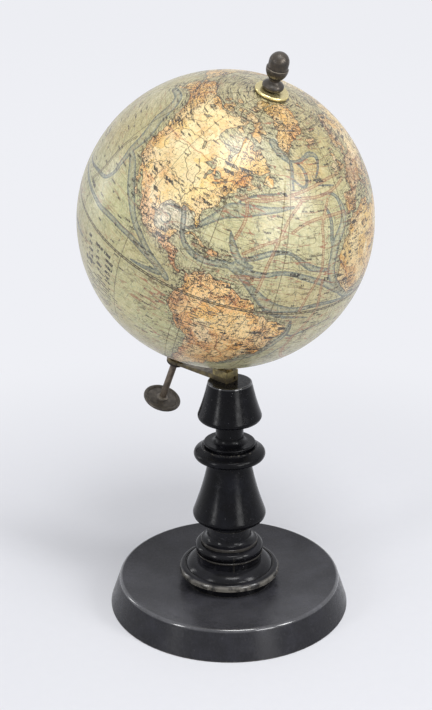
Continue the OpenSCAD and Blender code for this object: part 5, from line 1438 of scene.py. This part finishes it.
# %% [markdown]
# ## Place on the ball
# The printed net of meridians and parallels, the scale along the equator and the words follow
# longitude and latitude. Both come from Object coordinates: the point seen from the ball's
# middle is measured along three fixed directions, of which the third is the axis.

# %% Place group
ball, given, given_out = effect("place on the ball", [], [
    ("Longitude", FLOAT), ("Latitude", FLOAT), ("East", FLOAT), ("North", FLOAT), ("Narrow", FLOAT),
    ("Local", VECTOR)])
from_middle = put(ball, "ShaderNodeVectorMath",
                  {0: use(ball, millimetres)["Place"], 1: tuple(ball_centre)}, operation="SUBTRACT")
x, y, z = (put(ball, "ShaderNodeVectorMath", {0: from_middle.outputs[0], 1: tuple(direction)},
               operation="DOT_PRODUCT").outputs["Value"] for direction in on_axis.to_3x3().col)
local = combine(ball, x, y, z)
lat = calc(ball, "DEGREES", calc(ball, "ARCSINE", calc(ball, "DIVIDE", z, length_of(ball, local))))
lon = calc(ball, "SUBTRACT", calc(ball, "DEGREES", calc(ball, "ARCTAN2", y, x)), map_turn)
lon = calc(ball, "WRAP", lon, 180.0, -180.0)
narrow = calc(ball, "COSINE", calc(ball, "RADIANS", lat))
for label, socket in (("Longitude", lon), ("Latitude", lat), ("Narrow", narrow), ("Local", local),
                      ("East", times(ball, lon, mm_per_degree, narrow)),
                      ("North", times(ball, lat, mm_per_degree))):
    ball.links.new(socket, given_out[label])
print("place on the ball:", [socket.name for socket in ball.interface.items_tree])

# %% [markdown]
# ## Hair lines, wandering lines and words
# Three kinds of ink return all over the map. A hair line is drawn where a distance passes
# zero. Streams, hills and small borders wander, and a line that wanders is the place where a
# noise crosses its middle value. The small names are too fine to be read at any time, so rows
# of dark strokes stand for them, which are no letters.

# %% Ink groups
hair, given, given_out = effect(
    "hair line", [("Distance", FLOAT, 1.0), ("Width", FLOAT, 0.15)], [("Ink", FLOAT)])
half = times(hair, given["Width"], 0.5)
ink = step(hair, calc(hair, "ABSOLUTE", given["Distance"]), calc(hair, "SUBTRACT", half, 0.04),
           calc(hair, "ADD", half, 0.05), 1.0, 0.0)
hair.links.new(ink, given_out["Ink"])

wander, given, given_out = effect("wandering line", [
    ("Place", VECTOR, None), ("Scale", FLOAT, 0.8), ("Width", FLOAT, 0.04), ("Crinkle", FLOAT, 0.6),
    ("Bends", FLOAT, 0.4)], [("Ink", FLOAT)])
field = noise(wander, given["Place"], given["Scale"], 2, given["Crinkle"], given["Bends"])
off_middle = calc(wander, "ABSOLUTE", calc(wander, "SUBTRACT", field, 0.5))
ink = step(wander, off_middle, times(wander, given["Width"], 0.6), given["Width"], 1.0, 0.0)
wander.links.new(ink, given_out["Ink"])

words, given, given_out = effect("printed dashes", [
    ("East", FLOAT, 0.0), ("North", FLOAT, 0.0), ("Row", FLOAT, 1.0), ("Length", FLOAT, 5.0),
    ("Share", FLOAT, 0.3)], [("Ink", FLOAT)])
line_at = calc(words, "DIVIDE", given["North"], given["Row"])
line_no = calc(words, "FLOOR", line_at)
in_line = calc(words, "FRACT", line_at)
shift = put(words, "ShaderNodeTexWhiteNoise", {"W": line_no}, noise_dimensions="1D").outputs["Value"]
word_at = calc(words, "ADD", calc(words, "DIVIDE", given["East"], given["Length"]),
               times(words, shift, 7.0))
word_no = calc(words, "FLOOR", word_at)
in_word = calc(words, "FRACT", word_at)
lot = put(words, "ShaderNodeTexWhiteNoise", {"Vector": combine(words, word_no, line_no)},
          noise_dimensions="2D")
kept = calc(words, "LESS_THAN", lot.outputs["Value"], given["Share"])
reach = put(words, "ShaderNodeSeparateColor", {0: lot.outputs["Color"]})
in_length = calc(words, "LESS_THAN", in_word, step(words, reach.outputs[1], 0.0, 1.0, 0.3, 0.85))
band = calc(words, "LESS_THAN", calc(words, "ABSOLUTE", calc(words, "SUBTRACT", in_line, 0.5)), 0.27)
stroke_size = calc(words, "DIVIDE", 1.7, given["Row"])
strokes = combine(words, times(words, given["East"], stroke_size, 2.0),
                  times(words, given["North"], stroke_size))
letters = step(words, noise(words, strokes, 1.0, 2, 0.6), 0.4, 0.47)
words.links.new(times(words, kept, in_length, band, letters), given_out["Ink"])
print("ink groups ready")

# %% [markdown]
# ## Sea and currents
# The finish is built as the printer and the colourist worked: paper, washes, currents, then
# ink, and over all the browned varnish with its stains. Each step is one mix of colours, and
# each of the next cells is one step.

# %% Sea
def carried(tree, label):
    node = put(tree, "ShaderNodeAttribute", attribute_name=label)
    return node.outputs["Color" if label.endswith("wash") else "Fac"]


def sea_colours(tree, at, clouds):
    """Greenish sea with its currents: a wide one is dark at its sides and pale in its middle."""
    stream = carried(tree, "ribbon")
    flat = combine(tree, at["East"], at["North"])
    sea = mix(tree, step(tree, clouds, 0.3, 0.7, 0.0, 0.45), carried(tree, "sea_wash"), tone("A3A27A"))
    patches = noise(tree, flat, 0.3, 4, 0.6, 0.8)
    sea = mix(tree, step(tree, patches, 0.45, 0.7, 0.0, 0.4), sea, tone("D6D2AE"))
    sea = mix(tree, step(tree, patches, 0.48, 0.28, 0.0, 0.6), sea, tone("959C84"))
    hatched = step(tree, noise(tree, flat, 1.3, 2, 0.6, 1.2), 0.4, 0.6, 0.45, 1.0)
    inside_it = step(tree, stream, -0.12, 0.08, 1.0, 0.0)
    depth = step(tree, stream, -2.2, -0.5, 0.3, 0.85)
    sea = mix(tree, times(tree, inside_it, depth, hatched), sea, tone("74848A"))
    strokes = step(tree, calc(tree, "PINGPONG", stream, 0.45), 0.1, 0.25, 1.0, 0.0)
    sea = mix(tree, times(tree, inside_it, depth, strokes, hatched, 0.5), sea, tone("4C5A60"))
    side = use(tree, hair, {"Distance": calc(tree, "ADD", stream, 0.3), "Width": 0.75})["Ink"]
    sea = mix(tree, times(tree, side, hatched, 0.85), sea, tone("46545A"))
    beside = times(tree, step(tree, stream, 0.2, 0.4), step(tree, stream, 1.5, 3.6, 1.0, 0.0),
                   step(tree, noise(tree, flat, 0.25, 3), 0.42, 0.56))
    echoes = step(tree, calc(tree, "PINGPONG", stream, 0.62), 0.08, 0.2, 1.0, 0.0)
    return mix(tree, times(tree, beside, echoes, 0.7), sea, tone("565C4A"))


# %% [markdown]
# ## Land
# Every country had its wash, stronger along its coast and border. Within it each province is
# a little yellower, paler or rosier than the next, and hills are hatched.

# %% Land
def stained(tree, share, base, code):
    """Lays a see-through tone over a colour."""
    return mix(tree, share, base, mix(tree, 1.0, base, tone(code), "MULTIPLY"))


def land_colours(tree, at, clouds, grain, shore_gap, ridge):
    place = at["Local"]
    swerve = put(tree, "ShaderNodeTexNoise", {
        "Vector": place, "Scale": 0.22, "Detail": 3.0}).outputs["Color"]
    bent = put(tree, "ShaderNodeVectorMath", {0: swerve, 1: (9.0, 9.0, 9.0), 2: place},
               operation="MULTIPLY_ADD").outputs[0]
    cells = put(tree, "ShaderNodeTexVoronoi", {"Vector": bent, "Scale": 0.13})
    chance = put(tree, "ShaderNodeSeparateColor", {0: cells.outputs["Color"]})
    wash = mix(tree, 0.36, carried(tree, "land_wash"), tone("FFEFC0"))
    soil = stained(tree, step(tree, chance.outputs[0], 0.5, 0.7, 0.0, 0.45), wash, "FFE69A")
    soil = stained(tree, step(tree, chance.outputs[1], 0.6, 0.8, 0.0, 0.4), soil, "F6D0B0")
    soil = mix(tree, step(tree, chance.outputs[2], 0.6, 0.8, 0.0, 0.4), soil, tone("F4ECCB"))
    soil = stained(tree, step(tree, clouds, 0.42, 0.75, 0.0, 0.28), soil, "E6C48E")
    along_coast = step(tree, shore_gap, 0.1, 1.2, 0.24, 0.0)
    soil = stained(tree, times(tree, along_coast, step(tree, clouds, 0.35, 0.6)), soil, "E2A87A")
    soil = stained(tree, times(tree, ridge, 0.2), soil, "E6B48C")
    near_border = step(tree, carried(tree, "border"), 0.1, 0.95, 0.42, 0.0)
    return stained(tree, times(tree, near_border, step(tree, grain, 0.3, 0.6)), soil, "E2966E")


# %% [markdown]
# ## Ink
# The ink is closest along coasts, where the names of places crowd, and in mountains. Far
# inland and out at sea it thins out to a few long lines.

# %% Ink of coasts, rivers and names
def ink_lines(tree, at, base, land, shore_gap, ridge, clouds):
    place = at["Local"]
    flat = combine(tree, at["East"], at["North"])
    ground = calc(tree, "SUBTRACT", 1.0, land)
    inland = step(tree, shore_gap, 0.5, 9.0, 1.0, 0.0)
    offshore = step(tree, shore_gap, -5.5, -0.4, 0.0, 1.0)
    polar = step(tree, at["Latitude"], 62.0, 74.0)
    plains_east = times(tree, calc(tree, "ADD", at["Longitude"], 100.0), at["Narrow"])
    plains_north = calc(tree, "MULTIPLY_ADD", at["Latitude"], 0.6, -28.0)
    off_plains = length_of(tree, combine(tree, plains_east, plains_north))
    closeness = step(tree, off_plains, 9.0, 18.0, 0.45, 1.0)
    patchy = step(tree, noise(tree, place, 0.1, 2), 0.38, 0.62)
    busy = calc(tree, "ADD", times(tree, inland, 0.42), times(tree, ridge, 0.4))
    busy = calc(tree, "ADD", busy, calc(tree, "MULTIPLY_ADD", patchy, 0.25, 0.15))
    busy = calc(tree, "ADD", busy, times(tree, polar, 0.3), clamp=True)
    busy = times(tree, busy, closeness, land)
    busy_sea = times(tree, calc(tree, "MAXIMUM", offshore, times(tree, polar, 0.8)), ground)
    streams = use(tree, wander, {"Place": place, "Scale": 0.3, "Crinkle": 0.6, "Bends": 0.9,
                                 "Width": step(tree, busy, 0.0, 1.0, 0.012, 0.03)})["Ink"]
    streams = times(tree, streams, land, step(tree, busy, 0.0, 0.7, 0.45, 1.0))
    base = mix(tree, streams, base, tone("2C1D0F"))
    hills = use(tree, wander, {"Place": flat, "Scale": 0.55, "Crinkle": 0.6, "Bends": 1.4,
                               "Width": step(tree, busy, 0.3, 1.0, 0.0, 0.044)})["Ink"]
    base = mix(tree, times(tree, hills, land, 0.95), base, tone("3C2412"))
    soundings = use(tree, wander, {"Place": flat, "Scale": 0.4, "Crinkle": 0.6, "Bends": 1.2,
                                   "Width": step(tree, busy_sea, 0.1, 1.0, 0.0, 0.045)})["Ink"]
    base = mix(tree, times(tree, soundings, ground, 0.8), base, tone("36342A"))
    small = use(tree, words, {"East": at["East"], "North": at["North"], "Row": 1.7, "Length": 4.8,
                              "Share": calc(tree, "ADD", times(tree, busy, 0.4), calc(
                                  tree, "MULTIPLY_ADD", busy_sea, 0.4, 0.015))})["Ink"]
    base = mix(tree, times(tree, small, 0.9), base, tone("261A10"))
    large = use(tree, words, {"East": calc(tree, "ADD", at["East"], 2.3), "North": at["North"], "Row": 3.6,
                              "Length": 8.0, "Share": calc(tree, "MULTIPLY_ADD", busy, 0.2, 0.02)})["Ink"]
    base = mix(tree, times(tree, large, 0.95), base, tone("1E150E"))

    broken = step(tree, clouds, 0.3, 0.5, 0.45, 1.0)
    coast_ink = use(tree, hair, {"Distance": shore_gap, "Width": 0.34})["Ink"]
    base = mix(tree, times(tree, coast_ink, broken, 0.85), base, tone("3A2417"))
    near_river = step(tree, carried(tree, "river"), 0.2, 0.4, 1.0, 0.0)
    river_ink = use(tree, hair, {"Distance": carried(tree, "river_side"), "Width": 0.32})["Ink"]
    base = mix(tree, times(tree, river_ink, near_river, land, 0.85), base, tone("3F3424"))
    near_border = step(tree, carried(tree, "border"), 0.35, 0.6, 1.0, 0.0)
    border_ink = use(tree, hair, {"Distance": carried(tree, "border_side"), "Width": 0.26})["Ink"]
    return mix(tree, times(tree, border_ink, near_border, land, 0.65), base, tone("6B3422"))


# %% [markdown]
# ## Ink out at sea
# Long wandering lines cross the open sea, drawn out by a different scale along and across.
# Then come the routes: two rails with rungs between them.

# %% Ink out at sea
SEA_LINES = (  # scale along, scale across, width, depth, tone
    (0.05, 0.3, 0.012, 0.7, "6A5F42"), (0.035, 0.22, 0.011, 0.75, "98553E"),
    (0.26, 0.05, 0.01, 0.6, "566058"), (0.08, 0.12, 0.01, 0.6, "5E543A"),
    (0.5, 0.06, 0.03, 0.5, "6B6040"))


def sea_lines(tree, at, base, land):
    ground = calc(tree, "SUBTRACT", 1.0, land)
    for number, (along, across, width, depth, code) in enumerate(SEA_LINES):
        drawn_out = combine(tree, times(tree, at["East"], along), times(tree, at["North"], across),
                            number * 7.3)
        line = use(tree, wander, {"Place": drawn_out, "Scale": 1.0, "Width": width, "Crinkle": 0.45})["Ink"]
        where = times(tree, ground, step(tree, at["Longitude"], -105.0, -88.0, 0.5, 1.0))
        if number == 4:  # long streaks only in the north Pacific
            where = times(tree, ground, step(tree, at["Longitude"], -120.0, -130.0),
                          step(tree, at["Latitude"], 12.0, 24.0))
        base = mix(tree, times(tree, line, where, depth), base, tone(code))
    way = carried(tree, "route")
    twin = use(tree, hair, {"Distance": calc(tree, "SUBTRACT", way, 0.62), "Width": 0.4})["Ink"]
    rungs = step(tree, calc(tree, "PINGPONG", carried(tree, "route_along"), 0.55), 0.1, 0.2, 1.0, 0.0)
    rungs = times(tree, rungs, calc(tree, "LESS_THAN", way, 0.62))
    ladder = times(tree, calc(tree, "MAXIMUM", twin, times(tree, rungs, 0.7)), ground)
    fill_tone = mix(tree, step(tree, at["Longitude"], -110.0, -100.0), tone("7C7250"), tone("C0966E"))
    base = mix(tree, times(tree, calc(tree, "LESS_THAN", way, 0.6), ground, 0.3), base, fill_tone)
    ladder_tone = mix(tree, step(tree, at["Longitude"], -110.0, -100.0), tone("4E4228"), tone("8A4C38"))
    return mix(tree, times(tree, ladder, 0.7), base, ladder_tone)


# %% [markdown]
# ## Net of degrees
# Every second meridian is heavier. The equator is a scale between two strong lines. The
# printed net lies nearly a degree north of the ball's true one, because paper stretches when
# it is wet with paste.

# %% Net of degrees
paste_shift = 0.9


def degree_net(tree, at, base, land):
    lat = calc(tree, "SUBTRACT", at["Latitude"], paste_shift)
    north = times(tree, lat, mm_per_degree)
    lon = calc(tree, "SUBTRACT", at["Longitude"], 16.3)
    per_degree = times(tree, at["Narrow"], mm_per_degree)
    fine = calc(tree, "MINIMUM", times(tree, calc(tree, "PINGPONG", lon, 7.5), per_degree),
                times(tree, calc(tree, "PINGPONG", lat, 5.0), mm_per_degree))
    thin = use(tree, hair, {"Distance": fine, "Width": 0.14})["Ink"]
    base = mix(tree, times(tree, thin, 0.4), base, tone("5F553E"))
    strong = use(tree, hair, {"Distance": times(tree, calc(tree, "PINGPONG", lon, 15.0), per_degree),
                              "Width": 0.46})["Ink"]
    base = mix(tree, times(tree, strong, step(tree, land, 0.0, 1.0, 0.78, 0.4)), base, tone("574B30"))
    tropic = times(tree, calc(tree, "SUBTRACT", calc(tree, "ABSOLUTE", lat), 23.5), mm_per_degree)
    sun_turn = calc(tree, "RADIANS", calc(tree, "ADD", at["Longitude"], 103.0))
    sun_path = times(tree, calc(tree, "SINE", sun_turn), 23.44)
    ecliptic = times(tree, calc(tree, "SUBTRACT", lat, sun_path), mm_per_degree * 0.93)
    rings = calc(tree, "MINIMUM", calc(tree, "ABSOLUTE", tropic), calc(tree, "ABSOLUTE", ecliptic))
    base = mix(tree, times(tree, use(tree, hair, {"Distance": rings, "Width": 0.24})["Ink"], 0.55),
               base, tone("5F4E38"))
    off_equator = calc(tree, "ABSOLUTE", north)
    within = calc(tree, "LESS_THAN", off_equator, 0.5)
    rails = use(tree, hair, {"Distance": calc(tree, "SUBTRACT", off_equator, 0.55), "Width": 0.46})["Ink"]
    ticks = times(tree, step(tree, calc(tree, "PINGPONG", at["Longitude"], 1.0), 0.45, 0.55), within)
    base = mix(tree, times(tree, within, 0.4), base, tone("A08F62"))
    base = mix(tree, times(tree, calc(tree, "MAXIMUM", rails, times(tree, ticks, 0.6)), 0.95),
               base, tone("241B10"))
    off_ring = calc(tree, "SUBTRACT", times(tree, calc(tree, "ABSOLUTE", at["Latitude"]),
                                           mm_per_degree), 70 * mm_per_degree)
    ring = use(tree, hair, {"Distance": calc(tree, "SUBTRACT", calc(tree, "ABSOLUTE", off_ring), 0.4),
                            "Width": 0.26})["Ink"]
    return mix(tree, times(tree, ring, 0.8), base, tone("3F3424"))


# %% [markdown]
# ## Title block
# A block of bold rows and fine rows stands in the Pacific below the equator. It stays without
# letters, but its rows have the weight that printed lines have.

# %% Title block
def title_block(tree, at, base):
    east = calc(tree, "DIVIDE", calc(tree, "ABSOLUTE", calc(tree, "ADD", at["Longitude"], 115.0)), 9.0)
    north = calc(tree, "DIVIDE", calc(tree, "ABSOLUTE", calc(tree, "ADD", at["Latitude"], 17.0)), 14.5)
    inside_it = calc(tree, "LESS_THAN", calc(tree, "MAXIMUM", east, north), 1.0)
    bold_rows = calc(tree, "GREATER_THAN", at["Latitude"], -14.0)
    everywhere = {"East": at["East"], "North": at["North"], "Share": 0.95}
    bold = use(tree, words, {**everywhere, "Row": 3.4, "Length": 8.0})
    fine = use(tree, words, {**everywhere, "Row": 2.0, "Length": 14.0})
    base = mix(tree, times(tree, fine["Ink"], inside_it, calc(tree, "SUBTRACT", 1.0, bold_rows), 0.95),
               base, tone("2A2216"))
    return mix(tree, times(tree, bold["Ink"], inside_it, bold_rows, 0.95), base, tone("201810"))


# %% [markdown]
# ## Varnish
# The varnish has browned in clouds and carries foxing, grime and small stains. It still
# shines, which the coat layer does, and the paper under it is not quite even.

# %% Map finish
def aged(tree, place, base, clouds, grain):
    base = mix(tree, 1.0, base, tone("FFFCF2"), "MULTIPLY")
    broad = noise(tree, place, 0.035, 5, 0.6)
    base = stained(tree, step(tree, broad, 0.4, 0.75, 0.0, 0.3), base, "E6CC98")
    spots = put(tree, "ShaderNodeTexVoronoi", {"Vector": place, "Scale": 0.33})
    foxing = times(tree, step(tree, spots.outputs["Distance"], 0.05, 0.2, 1.0, 0.0),
                   step(tree, clouds, 0.55, 0.65))
    base = mix(tree, times(tree, foxing, 0.5), base, tone("75593A"))
    base = stained(tree, step(tree, grain, 0.4, 0.7, 0.0, 0.3), base, "CDB78C")
    base = mix(tree, step(tree, grain, 0.52, 0.28, 0.0, 0.3), base, tone("F1E9CC"))
    grime = step(tree, noise(tree, place, 0.5, 7, 0.75), 0.56, 0.75, 0.0, 0.3)
    return mix(tree, grime, base, tone("857552"))


def map_paper():
    finish = bpy.data.materials.new("printed and varnished map paper")
    tree = blank(finish)
    at = use(tree, ball)
    place = at["Local"]
    clouds = noise(tree, place, 0.16, 6, 0.62)
    grain = noise(tree, place, 0.9, 6, 0.75)
    shore_gap = carried(tree, "coast")
    land = step(tree, shore_gap, -0.04, 0.04)
    ridge = step(tree, carried(tree, "mountain"), 0.3, 3.0, 1.0, 0.0)
    base = mix(tree, land, sea_colours(tree, at, clouds),
               land_colours(tree, at, clouds, grain, shore_gap, ridge))
    base = sea_lines(tree, at, base, land)
    base = ink_lines(tree, at, base, land, shore_gap, ridge, clouds)
    base = degree_net(tree, at, base, land)
    base = title_block(tree, at, base)
    base = aged(tree, place, base, clouds, grain)
    gloss = calc(tree, "ADD", step(tree, clouds, 0.3, 0.7, 0.36, 0.5),
                 step(tree, grain, 0.3, 0.7, 0.0, 0.08))
    ripple = calc(tree, "ADD", times(tree, clouds, 1.6), times(tree, grain, 0.45))
    bump = put(tree, "ShaderNodeBump", {"Height": ripple, "Strength": 0.4, "Distance": 0.00025})
    shader = put(tree, "ShaderNodeBsdfPrincipled", {
        "Base Color": base, "Roughness": gloss, "Normal": bump.outputs[0], "Specular IOR Level": 0.3,
        "Coat Weight": 0.75, "Coat Roughness": 0.27})
    put(tree, "ShaderNodeOutputMaterial", {0: shader.outputs[0]})
    return finish


printed = map_paper()
for piece in paper_pieces:
    piece.data.materials.append(printed)
print("map nodes:", len(printed.node_tree.nodes))
